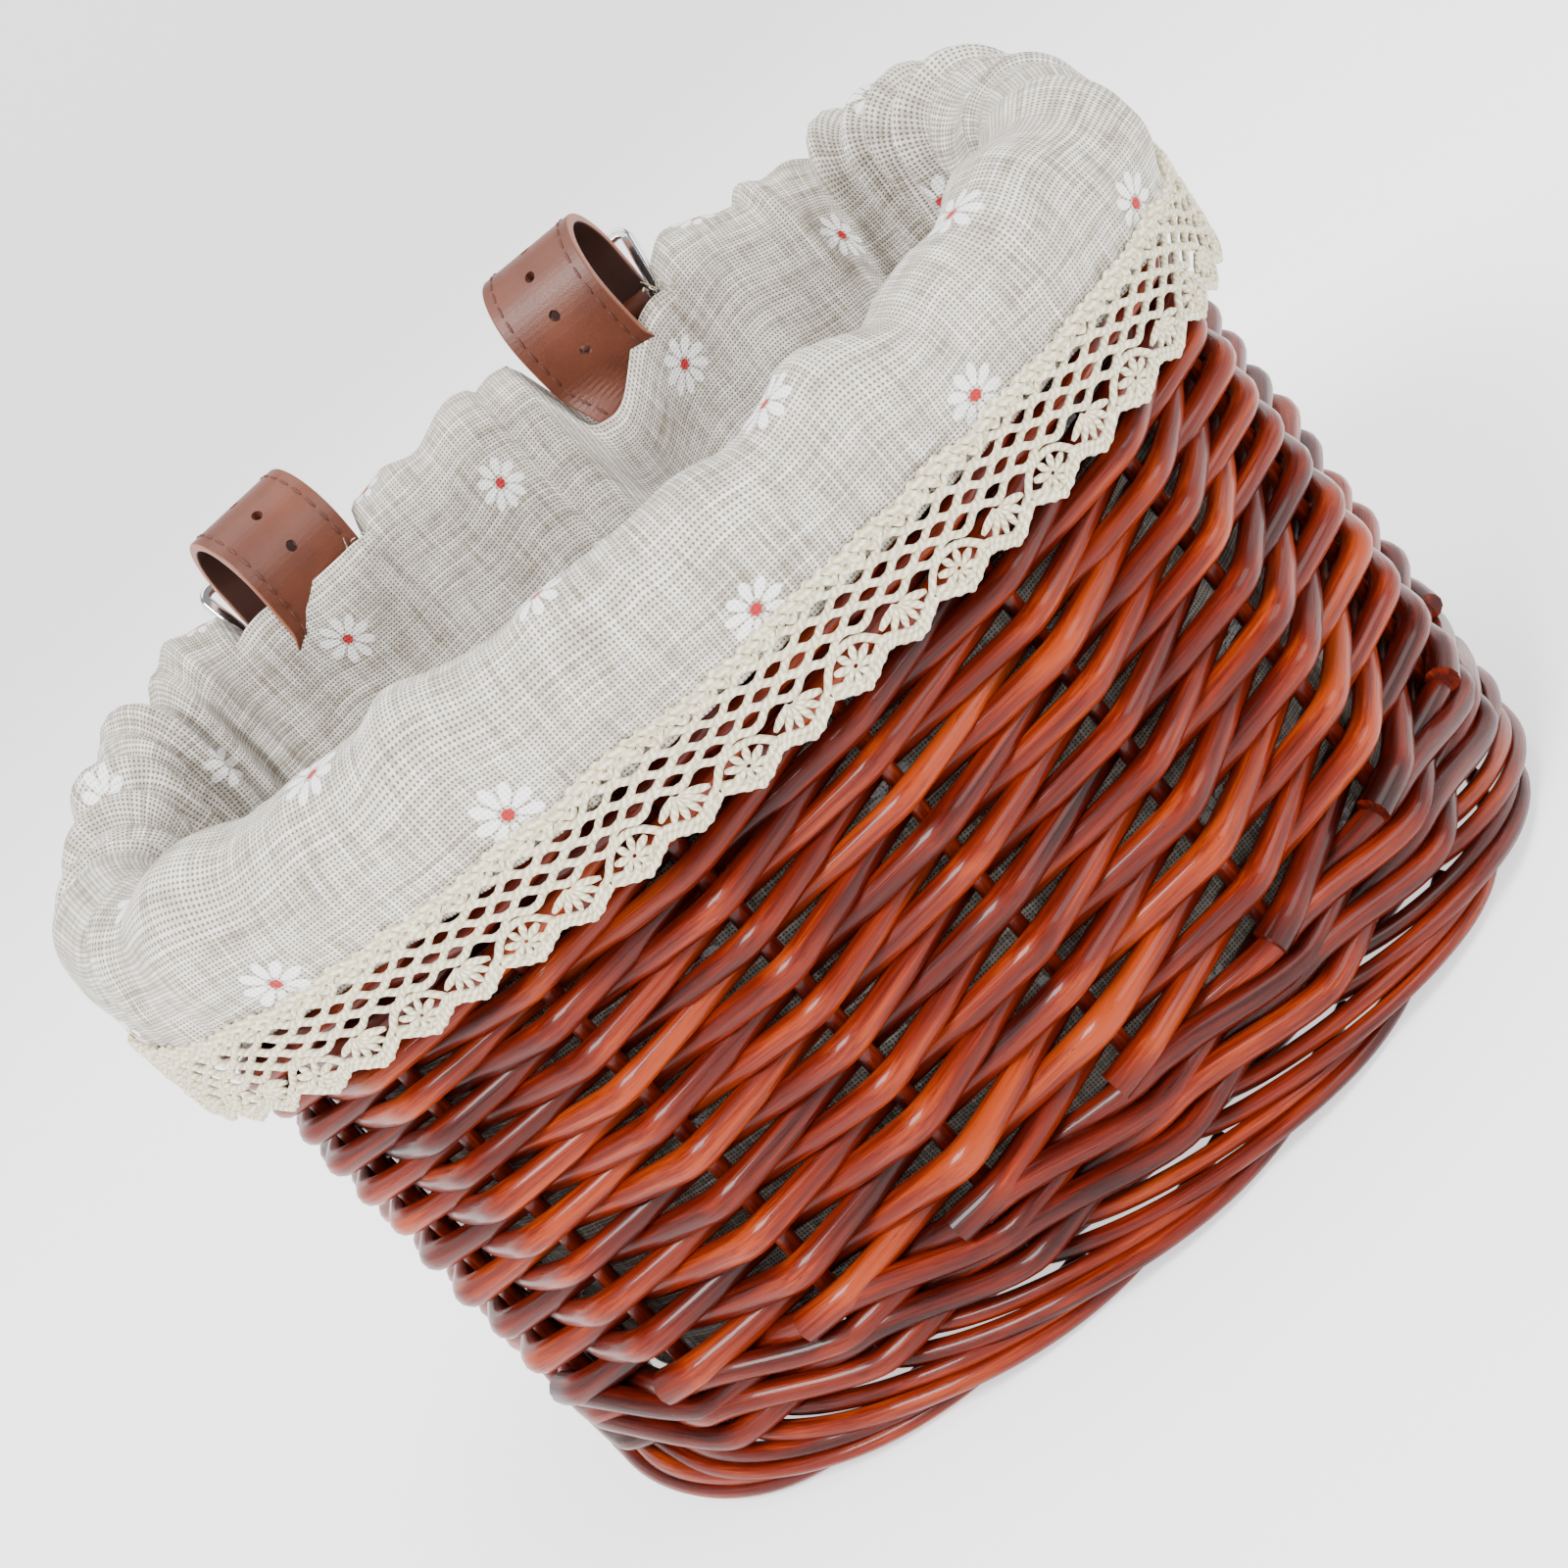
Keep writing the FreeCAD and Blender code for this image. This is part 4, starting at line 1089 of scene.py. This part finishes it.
# %% Cotton thread
def cotton_material():
    """Cream cotton with the twist of its plies."""
    material, nodes, shader = new_material("cream cotton")
    along = nodes.add("ShaderNodeAttribute", attribute_name="along").outputs["Vector"]
    split = nodes.add("ShaderNodeSeparateXYZ", {0: along})
    angle = nodes.math("ARCTAN2", split.outputs[2], split.outputs[1])
    turns = nodes.math("MULTIPLY", split.outputs[0], math.tau / (1.5 * MM))
    plies = nodes.math("SINE", nodes.math("ADD", turns, nodes.math("MULTIPLY", angle, 2.0)))
    place = nodes.add("ShaderNodeTexCoord").outputs["Object"]
    fuzz = nodes.noise(place, 900.0, 3.0)
    height = nodes.math("ADD", nodes.math("MULTIPLY", plies, 0.5), fuzz)
    # The colour is darker in the grooves between the plies, which is painted shade; the fuzz adds
    # random tone.
    tone = nodes.math("ADD", nodes.math("MULTIPLY", plies, 0.22), fuzz)
    colour = nodes.blend(nodes.span(tone, 0.25, 0.85), (0.46, 0.40, 0.25, 1),
                         (0.87, 0.81, 0.62, 1))
    nodes.put(shader.inputs["Base Color"], colour)
    shader.inputs["Roughness"].default_value = 0.85
    shader.inputs["Specular IOR Level"].default_value = 0.25
    shader.inputs["Sheen Weight"].default_value = 0.2
    bump = nodes.add("ShaderNodeBump", {"Strength": 0.7, "Distance": 0.25 * MM,
                                        "Height": height})
    nodes.put(shader.inputs["Normal"], bump.outputs["Normal"])
    return material


COTTON = cotton_material()

# %% One repeat of the pattern, flat
LACE_OFFSET = 14.4
LACE_ROUND = GIRTH + math.tau * LACE_OFFSET
REPEATS = 31
REPEAT = LACE_ROUND / REPEATS
EYELET = REPEAT / 3
LACE_THREAD = 1.5
LACE_HEIGHT = 20.6


def lace_thread(name, points, widths=None):
    """A thread through flat points: along, height and depth in millimetres."""
    points = np.array([(p + (0.0,))[:3] for p in points])
    if widths is None:
        widths = np.full(len(points), LACE_THREAD)
    return rod_mesh(name, points * MM, widths, 0.5, None, 1, 3)


def wavy_line(height, swing, pitch, phase, depth, square=0.0):
    """A line that waves across one repeat, with flatter crests if square is above 0."""
    count = round(REPEAT / pitch) * 8
    line = []
    for i in range(count + 1):
        turn = math.tau * (REPEAT * i / count / pitch + phase)
        wave = math.cos(turn)
        if square:
            wave = math.tanh(square * wave) / math.tanh(square)
        line.append((REPEAT * i / count, height + swing * wave, depth * math.sin(turn)))
    return line


def lace_repeat():
    """All the threads of one repeat, joined."""
    threads = []
    # The heading: three close waves.
    for height, phase in [(19.9, 0.0), (19.4, 0.5), (18.2, 0.25)]:
        threads.append((wavy_line(height, 0.6, REPEAT / 8, phase, 0.35), None))
    # The ground: rows of eyelets.
    for line in range(5):
        threads.append((wavy_line(16.9 - 1.9 * line, 0.72, EYELET, 0.5 * (line % 2), 0.3, 1.8),
                        None))
    # A spider and a fan: middle, height, spokes, first and next angle, reach.
    for middle, level, spokes, start, step, reach in [
            (REPEAT * 0.28, 4.6, 8, 22.0, 45.0, (4.2, 3.4)),
            (REPEAT * 0.78, 8.2, 6, -152.0, 25.0, (6.0, 5.2))]:
        for spoke in range(spokes):
            turn = math.radians(start + step * spoke)
            places = [(middle + reach[0] * share * math.cos(turn),
                       level + reach[1] * share * math.sin(turn), depth)
                      for share, depth in [(0.12, 0.1), (0.4, 0.3), (0.75, 0.3), (1.0, 0.0)]]
            threads.append((places, [0.7, 1.3, 1.7, 0.8]))
    # The scalloped edge, worked twice, and the arch over the spider.
    points = [0.02, 0.14, 0.28, 0.42, 0.54, 0.64, 0.78, 0.90, 1.02]
    edge = [3.6, 2.0, 0.3, 2.0, 3.4, 2.2, 0.4, 2.2, 3.6]
    for rise in (0.0, 1.2):
        threads.append(([(REPEAT * a, h + rise, 0.2 - 0.3 * rise)
                         for a, h in zip(points, edge)], None))
    arch = [(0.02, 4.6), (0.10, 7.0), (0.20, 8.4), (0.36, 8.4), (0.46, 7.0), (0.54, 4.4)]
    threads.append(([(REPEAT * a, h) for a, h in arch], None))
    # Small points along the edge.
    line = []
    for number, place in enumerate(np.linspace(0.03, 0.99, 21)):
        base = float(np.interp(place, points, edge))
        line.append((REPEAT * place, base - (0.9 if number % 2 else -0.1), 0.2))
    threads.append((line, [0.8] * len(line)))
    meshes = [lace_thread(f"lace_{i}", line, widths)
              for i, (line, widths) in enumerate(threads)]
    return join_meshes("lace_repeat", meshes)


def repeat_along(mesh, count, step):
    """Repeat a mesh along X with an Array modifier and apply it."""
    holder = bpy.data.objects.new("repeat", mesh)
    bpy.context.scene.collection.objects.link(holder)
    array = holder.modifiers.new("repeat", "ARRAY")
    array.count = count
    array.use_relative_offset = False
    array.use_constant_offset = True
    array.constant_offset_displace = (step, 0, 0)
    bpy.context.view_layer.update()
    whole = bpy.data.meshes.new_from_object(holder.evaluated_get(
        bpy.context.evaluated_depsgraph_get()))
    bpy.data.objects.remove(holder)
    return whole


# %% Bending the lace round the basket
def make_lace():
    """The whole edging, hung from the hem."""
    mesh = repeat_along(lace_repeat(), REPEATS, REPEAT * MM)
    flat = mesh_points(mesh) / MM
    distance = flat[:, 0] / LACE_ROUND * GIRTH
    drop = 1 - flat[:, 1] / LACE_HEIGHT
    wave = noise_field(distance, np.zeros(len(flat)), 23, 1, 2.0)
    short = noise_field(distance, flat[:, 1] * 0.4, 7, 9, 6.0)
    offset = LACE_OFFSET + 0.9 * wave + 0.5 * short - 1.2 * drop ** 2 + flat[:, 2]
    height = LACE_LOW + 0.3 + flat[:, 1] * (1 + 0.04 * short) + 1.1 * wave + 0.5 * short
    move_points(mesh, around(distance, offset, height))
    mesh.name = "cotton_lace"
    smooth(mesh)
    return add_piece("cotton_lace", mesh, COTTON, "basket", ["lace_trim"])


lace = make_lace()
print("lace:", REPEATS, "repeats,", len(lace.data.polygons), "faces")

ELASTIC, nodes, shader = new_material("woven elastic")
shader.inputs["Base Color"].default_value = (0.62, 0.57, 0.47, 1)
shader.inputs["Roughness"].default_value = 0.9
elastic_mesh = frame["nodes"]["cuff_elastic"].data
elastic_mesh.materials.clear()
elastic_mesh.materials.append(ELASTIC)

# %% [markdown]
# ## The straps
# A strap is a strip of leather, cut flat, punched and stitched, then bent: from the
# buckle's pin down round the rim, up into the loop, over the handlebar and down again to
# its tip under the keeper. The loops are turned outwards, so the strip twists as it rises.
# It is made flat here too, and one function bends the strip and its stitches together.

# %% The strap's route
LEATHER = 2.4
BEND = 9.0 + LEATHER / 2
ARCH = 13.0 + LEATHER / 2
ARCH_LEVEL = 24.6
PIN = 13.0
STRAP_TWIST = {"left": math.radians(20), "right": math.radians(-20)}
TWIST_HEIGHT = 12.0
STRAP_WIDTH = 26.0


def strap_route():
    """The strip's middle line: distance out from the rim's axis and height above it."""
    route = [(BEND, PIN - 2.4 - (PIN - 2.4) * i / 8) for i in range(8)]
    route += [(BEND * math.cos(a), -BEND * math.sin(a)) for a in np.linspace(0, math.pi, 25)]
    for share in np.linspace(0.1, 0.9, 9):
        lean = float(smoothstep(share, 0, 1)) * (ARCH - BEND)
        route.append((-BEND - lean, 1.5 + (ARCH_LEVEL - 1.5) * share))
    route += [(ARCH * math.cos(a), ARCH_LEVEL + ARCH * math.sin(a))
              for a in np.linspace(math.pi, 0, 37)]
    route += [(14.4, 21.0), (14.5, 17.0), (14.5, 13.0), (14.1, 11.0), (13.5, 9.0),
              (13.3, 6.0), (13.3, 3.0), (13.3, 0.5), (13.3, -2.0)]
    route = np.array(route)
    length = np.concatenate([[0], np.cumsum(np.linalg.norm(np.diff(route, axis=0), axis=1))])
    return length, route


ROUTE_LENGTH, ROUTE = strap_route()
STRIP_LENGTH = ROUTE_LENGTH[-1]
ARCH_OUTER = float(ROUTE_LENGTH[8 + 25 + 9 + 36])     # where the arch ends and turns down


def bend_strap(points, side):
    """Bend flat strip points (along, across, depth in millimetres) to their real places."""
    along = np.clip(points[:, 0], 0, STRIP_LENGTH)
    step = 0.4
    before = np.clip(along - step, 0, STRIP_LENGTH)
    after = np.clip(along + step, 0, STRIP_LENGTH)
    out = np.interp(along, ROUTE_LENGTH, ROUTE[:, 0])
    up = np.interp(along, ROUTE_LENGTH, ROUTE[:, 1])
    run_out = np.interp(after, ROUTE_LENGTH, ROUTE[:, 0]) - np.interp(before, ROUTE_LENGTH,
                                                                      ROUTE[:, 0])
    run_up = np.interp(after, ROUTE_LENGTH, ROUTE[:, 1]) - np.interp(before, ROUTE_LENGTH,
                                                                     ROUTE[:, 1])
    size = np.hypot(run_out, run_up)
    out = out - points[:, 2] * run_up / size
    up = up + points[:, 2] * run_out / size
    turn = STRAP_TWIST[side] * smoothstep(up, 0, TWIST_HEIGHT)
    across = points[:, 1]
    x = STRAP_PLACES[side] + across * np.cos(turn) - out * np.sin(turn)
    y = BACK_WALL + across * np.sin(turn) + out * np.cos(turn)
    return np.stack([x, y, RIM_AXIS + up], axis=1) * MM


print("each strap is cut", round(STRIP_LENGTH), "mm long")

# %% [markdown]
# The leather is smooth and finely grained on top, paler at its cut edges and darker on
# its lining. Its flat coordinates tell the material which side a point lies on.

# %% Leather
def leather_material(name, flat):
    """Brown leather that reads flat coordinates in millimetres."""
    material, nodes, shader = new_material(name)
    place = flat(nodes)
    split = nodes.add("ShaderNodeSeparateXYZ", {0: place})
    edge = nodes.span(nodes.math("ABSOLUTE", split.outputs[1]), STRAP_WIDTH / 2 - 0.35,
                      STRAP_WIDTH / 2 - 0.1)
    lining = nodes.span(split.outputs[2], -LEATHER / 2 + 0.05, -LEATHER / 2 + 0.5, 1.0, 0.0)
    world = nodes.add("ShaderNodeTexCoord").outputs["Object"]
    patches = nodes.noise(world, 55.0, 3.0)
    grain = nodes.add("ShaderNodeTexVoronoi", {"Vector": world, "Scale": 1500.0},
                      feature="DISTANCE_TO_EDGE").outputs["Distance"]
    fine = nodes.noise(world, 2600.0, 2.0)
    top = nodes.blend(nodes.span(patches, 0.3, 0.7), (0.085, 0.021, 0.0095, 1),
                      (0.135, 0.036, 0.017, 1))
    colour = nodes.blend(lining, top, (0.045, 0.014, 0.009, 1))
    colour = nodes.blend(edge, colour, (0.27, 0.090, 0.045, 1))
    nodes.put(shader.inputs["Base Color"], colour)
    nodes.put(shader.inputs["Roughness"], nodes.span(fine, 0.2, 0.8, 0.38, 0.55))
    shader.inputs["Specular IOR Level"].default_value = 0.45
    height = nodes.math("ADD", nodes.span(grain, 0.0, 0.25), nodes.math("MULTIPLY", fine, 0.4))
    bump = nodes.add("ShaderNodeBump", {"Strength": 0.18, "Distance": 0.12 * MM,
                                        "Height": height})
    nodes.put(shader.inputs["Normal"], bump.outputs["Normal"])
    return material


LEATHER_TOP = leather_material("brown leather", attribute_reader("flat", "Vector"))
LEATHER_PLAIN = leather_material("brown leather, small parts", lambda nodes: (0.0, 0.0, 0.0))

# %% [markdown]
# The flat strip is a box with rounded edges, cut into short lengths so that it can bend.
# The holes are punched with a Boolean while it is still flat.

# %% Cutting and punching the strip
HOLE_COUNT = 6
HOLE_WIDTH = 2.6
HOLE_PITCH = 10.0
SLOT_TOP = 10.5
SLOT_LOW = -1.0
STRIP_STEP = 1.3


def box_mesh(name, size, centre):
    """A plain box."""
    shape = bmesh.new()
    bmesh.ops.create_cube(shape, size=1.0)
    bmesh.ops.scale(shape, vec=size, verts=shape.verts)
    bmesh.ops.translate(shape, vec=centre, verts=shape.verts)
    mesh = bpy.data.meshes.new(name)
    shape.to_mesh(mesh)
    shape.free()
    return mesh


def flat_strip():
    """The strip as cut: a box with rounded long edges and many cross cuts."""
    shape = bmesh.new()
    bmesh.ops.create_cube(shape, size=1.0)
    bmesh.ops.scale(shape, vec=(STRIP_LENGTH, STRAP_WIDTH, LEATHER), verts=shape.verts)
    bmesh.ops.translate(shape, vec=(STRIP_LENGTH / 2, 0, 0), verts=shape.verts)
    bmesh.ops.bevel(shape, geom=shape.edges[:], offset=0.5, segments=2, profile=0.5,
                    affect="EDGES")
    for cut in np.arange(STRIP_STEP, STRIP_LENGTH - 0.6, STRIP_STEP):
        bmesh.ops.bisect_plane(shape, geom=shape.verts[:] + shape.edges[:] + shape.faces[:],
                               plane_co=(cut, 0, 0), plane_no=(1, 0, 0))
    for cut in (-8.0, -2.0, 2.0, 8.0):
        bmesh.ops.bisect_plane(shape, geom=shape.verts[:] + shape.edges[:] + shape.faces[:],
                               plane_co=(0, cut, 0), plane_no=(0, 1, 0))
    mesh = bpy.data.meshes.new("strip")
    shape.to_mesh(mesh)
    shape.free()
    return mesh


def hole_places():
    """Where the round holes are, along the strip, counted back from the prong's slot."""
    first = PIN + (SLOT_LOW + SLOT_TOP) / 2
    return [ARCH_OUTER - (HOLE_PITCH * number - (ARCH_LEVEL - first))
            for number in range(1, HOLE_COUNT + 1)]


def punch_tools():
    """Cylinders for the round holes and a box for the prong's slot."""
    tools = []
    for place in hole_places():
        shape = bmesh.new()
        bmesh.ops.create_cone(shape, cap_ends=True, segments=20, radius1=HOLE_WIDTH / 2,
                              radius2=HOLE_WIDTH / 2, depth=3 * LEATHER)
        bmesh.ops.translate(shape, vec=(place, 0, 0), verts=shape.verts)
        mesh = bpy.data.meshes.new("punch")
        shape.to_mesh(mesh)
        shape.free()
        tools.append(mesh)
    start = ARCH_OUTER + ARCH_LEVEL - PIN - SLOT_TOP
    length = SLOT_TOP - SLOT_LOW
    tools.append(box_mesh("punch", (length, HOLE_WIDTH, 3 * LEATHER),
                          (start + length / 2, 0, 0)))
    return join_meshes("punch", tools)


def punched(strip, tools):
    """The strip with the tools cut out of it."""
    holders = []
    for mesh in (strip, tools):
        holder = bpy.data.objects.new(mesh.name, mesh)
        bpy.context.scene.collection.objects.link(holder)
        holders.append(holder)
    cut = holders[0].modifiers.new("punch", "BOOLEAN")
    cut.operation = "DIFFERENCE"
    cut.solver = "EXACT"
    cut.object = holders[1]
    bpy.context.view_layer.update()
    done = bpy.data.meshes.new_from_object(holders[0].evaluated_get(
        bpy.context.evaluated_depsgraph_get()))
    for holder in holders:
        bpy.data.objects.remove(holder)
    return done


def make_strap(side):
    """One strap, bent round the rim and into its loop."""
    mesh = punched(flat_strip(), punch_tools())
    flat = mesh_points(mesh)
    set_attribute(mesh, "flat", "FLOAT_VECTOR", flat)
    move_points(mesh, bend_strap(flat, side))
    mesh.name = f"{side}_leather_strap"
    return add_piece(mesh.name, mesh, LEATHER_TOP, f"{side}_strap_loop",
                     [f"{side}_strap"])


for side in STRAP_PLACES:
    strap = make_strap(side)
    print(strap.name, len(strap.data.polygons), "faces")

# %% Stitches, sleeves and metal
STITCH_PITCH = 3.9
STITCH_INSET = 2.9
STITCH_START = 34.0
SLEEVE_RADIUS = 2.65
SLEEVE_GAP = 5.2              # the prong's room between the two halves
THREAD_BROWN, nodes, shader = new_material("waxed brown thread")
shader.inputs["Base Color"].default_value = (0.085, 0.020, 0.010, 1)
shader.inputs["Roughness"].default_value = 0.6
CHROME, nodes, shader = new_material("polished chrome")
shader.inputs["Base Color"].default_value = (0.72, 0.72, 0.74, 1)
shader.inputs["Metallic"].default_value = 1.0
shader.inputs["Roughness"].default_value = 0.12


def stitch_mesh():
    """One stitch: a stretched ball."""
    shape = bmesh.new()
    bmesh.ops.create_uvsphere(shape, u_segments=6, v_segments=5, radius=1.0)
    bmesh.ops.rotate(shape, verts=shape.verts, matrix=Matrix.Rotation(math.pi / 2, 3, "Y"))
    bmesh.ops.scale(shape, vec=(1.55, 0.36, 0.34), verts=shape.verts)
    mesh = bpy.data.meshes.new("stitch")
    shape.to_mesh(mesh)
    shape.free()
    return mesh


def make_stitches(side):
    """Rows of stitches along both edges of a strap, on its outer face."""
    count = int((STRIP_LENGTH - 4 - STITCH_START) / STITCH_PITCH)
    row = repeat_along(stitch_mesh(), count, STITCH_PITCH)
    points = mesh_points(row)
    rows = []
    for edge in (-1, 1):
        mesh = row.copy()
        inset = edge * (STRAP_WIDTH / 2 - STITCH_INSET)
        moved = points + (STITCH_START, inset, LEATHER / 2 + 0.08)
        move_points(mesh, bend_strap(moved, side))
        rows.append(mesh)
    mesh = join_meshes(f"{side}_stitches", rows)
    smooth(mesh)
    return add_piece(mesh.name, mesh, THREAD_BROWN, f"{side}_strap_loop")


def make_sleeve(side):
    """The end of the strip sewn round the buckle's pin, in two halves beside the prong."""
    halves = []
    inner, outer = SLEEVE_GAP / 2, STRAP_WIDTH / 2
    for edge in (-1, 1):
        shape = bmesh.new()
        bmesh.ops.create_cone(shape, cap_ends=True, segments=28, radius1=SLEEVE_RADIUS,
                              radius2=SLEEVE_RADIUS, depth=outer - inner)
        bmesh.ops.bevel(shape, geom=[e for e in shape.edges if e.calc_face_angle(0) > 1.0],
                        offset=0.35, segments=2, profile=0.5, affect="EDGES")
        bmesh.ops.rotate(shape, verts=shape.verts, matrix=Matrix.Rotation(math.pi / 2, 3, "Y"))
        bmesh.ops.translate(shape, vec=(edge * (inner + outer) / 2, 0, 0), verts=shape.verts)
        mesh = bpy.data.meshes.new("sleeve")
        shape.to_mesh(mesh)
        shape.free()
        halves.append(mesh)
    mesh = join_meshes(f"{side}_pin_sleeve", halves)
    points = mesh_points(mesh)
    turn = STRAP_TWIST[side]
    out = points[:, 1] + BEND
    x = STRAP_PLACES[side] + points[:, 0] * math.cos(turn) - out * math.sin(turn)
    y = BACK_WALL + points[:, 0] * math.sin(turn) + out * math.cos(turn)
    move_points(mesh, np.stack([x, y, RIM_AXIS + PIN + points[:, 2]], 1) * MM)
    smooth(mesh)
    return add_piece(mesh.name, mesh, LEATHER_PLAIN, f"{side}_strap_loop")


for side in STRAP_PLACES:
    make_stitches(side)
    make_sleeve(side)
    for node, material in [("strap_keeper", LEATHER_PLAIN), ("buckle_frame", CHROME),
                           ("buckle_prong", CHROME)]:
        mesh = frame["nodes"][f"{side}_{node}"].data
        mesh.materials.clear()
        mesh.materials.append(material)

# %% [markdown]
# The slits were cut with scissors, so a few loose threads hang out of the cloth at their
# ends.

# %% Frayed threads at the slits
FRAY_COUNT = 14


def make_fray():
    """Short loose threads at one end of each inner slit."""
    draw = random.Random(77)
    meshes = []
    for side, place in STRAP_PLACES.items():
        for number in range(FRAY_COUNT):
            root = -place - 15.5 - draw.uniform(-3.0, 4.5)
            start = around(root, -FOLD_RADIUS - 1.6, RIM_AXIS + draw.uniform(10, 18)) / MM
            reach = np.array([draw.uniform(-1, 1), draw.uniform(-2.0, -0.3),
                              draw.uniform(-0.6, 1.6)])
            points = [start, start + reach * draw.uniform(0.8, 1.2),
                      start + reach * 2 + (draw.uniform(-1, 1), 0, draw.uniform(-1, 1)),
                      start + reach * 2.6 + (draw.uniform(-1, 1), 0, draw.uniform(-1.5, 1))]
            meshes.append(rod_mesh(f"fray_{side}_{number}", np.array(points) * MM,
                                   [0.3, 0.28, 0.24, 0.16], 0.5, None, 1, 3))
    mesh = join_meshes("frayed_threads", meshes)
    return add_piece("frayed_threads", mesh, COTTON, "basket")


fray = make_fray()
print("fray:", len(fray.data.polygons), "faces")

# %% [markdown]
# ## The room
# A pale paper floor that curves up far away on every side, and three soft lights. The
# paper glows a little, as if lit from behind, so that it stays pale all round.

# %% Floor and light
# Distance from the middle and height, in metres: flat, then curving up like paper.
FLOOR_SWEEP = [(3.0, 0.0), (4.0, 0.08), (5.0, 0.4), (5.8, 1.0), (6.4, 2.0), (6.8, 3.4),
               (7.0, 5.2)]
FLOOR_SIDES = 64
FLOOR_GLOW = 1.0
AIR_GLOW = 0.4
LAMPS = [
    # name, place, size, power
    ("key", (-0.9, -1.2, 1.7), 0.8, 78),
    ("fill", (1.4, -1.0, 1.0), 1.0, 18),
    ("top", (0.1, 0.2, 1.9), 1.2, 22),
]
LAMP_AIM = Vector((0, 0, 0.09))


def swept_floor():
    """The floor as rings that widen and then rise."""
    mesh = bpy.data.meshes.new("studio_floor")
    shape = bmesh.new()
    middle = shape.verts.new((0, 0, 0))
    before = None
    for distance, height in FLOOR_SWEEP:
        ring = [shape.verts.new((distance * math.cos(turn), distance * math.sin(turn), height))
                for turn in np.linspace(0, 2 * math.pi, FLOOR_SIDES, endpoint=False)]
        for i in range(FLOOR_SIDES):
            j = (i + 1) % FLOOR_SIDES
            if before is None:
                shape.faces.new((middle, ring[i], ring[j]))
            else:
                shape.faces.new((before[i], ring[i], ring[j], before[j]))
        before = ring
    for face in shape.faces:
        face.smooth = True
    shape.to_mesh(mesh)
    shape.free()
    return mesh


def make_floor():
    """The paper floor with its glow."""
    mesh = swept_floor()
    floor = bpy.data.objects.new("studio_floor", mesh)
    bpy.context.scene.collection.objects.link(floor)
    material, nodes, shader = new_material("studio floor")
    shader.inputs["Base Color"].default_value = (0.92, 0.92, 0.92, 1)
    shader.inputs["Roughness"].default_value = 0.9
    shader.inputs["Specular IOR Level"].default_value = 0.0
    shader.inputs["Emission Color"].default_value = (1, 1, 1, 1)
    shader.inputs["Emission Strength"].default_value = FLOOR_GLOW
    material.cycles.emission_sampling = "NONE"
    mesh.materials.append(material)


def make_light():
    """A faint glow of the air and three soft lamps."""
    world = bpy.data.worlds.new("studio_air")
    world.use_nodes = True
    world.node_tree.nodes["Background"].inputs["Color"].default_value = (1, 1, 1, 1)
    world.node_tree.nodes["Background"].inputs["Strength"].default_value = AIR_GLOW
    bpy.context.scene.world = world
    for name, place, size, power in LAMPS:
        light = bpy.data.lights.new(name, "AREA")
        light.size = size
        light.energy = power
        lamp = bpy.data.objects.new(name, light)
        lamp.location = place
        aim = LAMP_AIM - Vector(place)
        lamp.rotation_euler = aim.to_track_quat("-Z", "Y").to_euler()
        bpy.context.scene.collection.objects.link(lamp)


make_floor()
make_light()
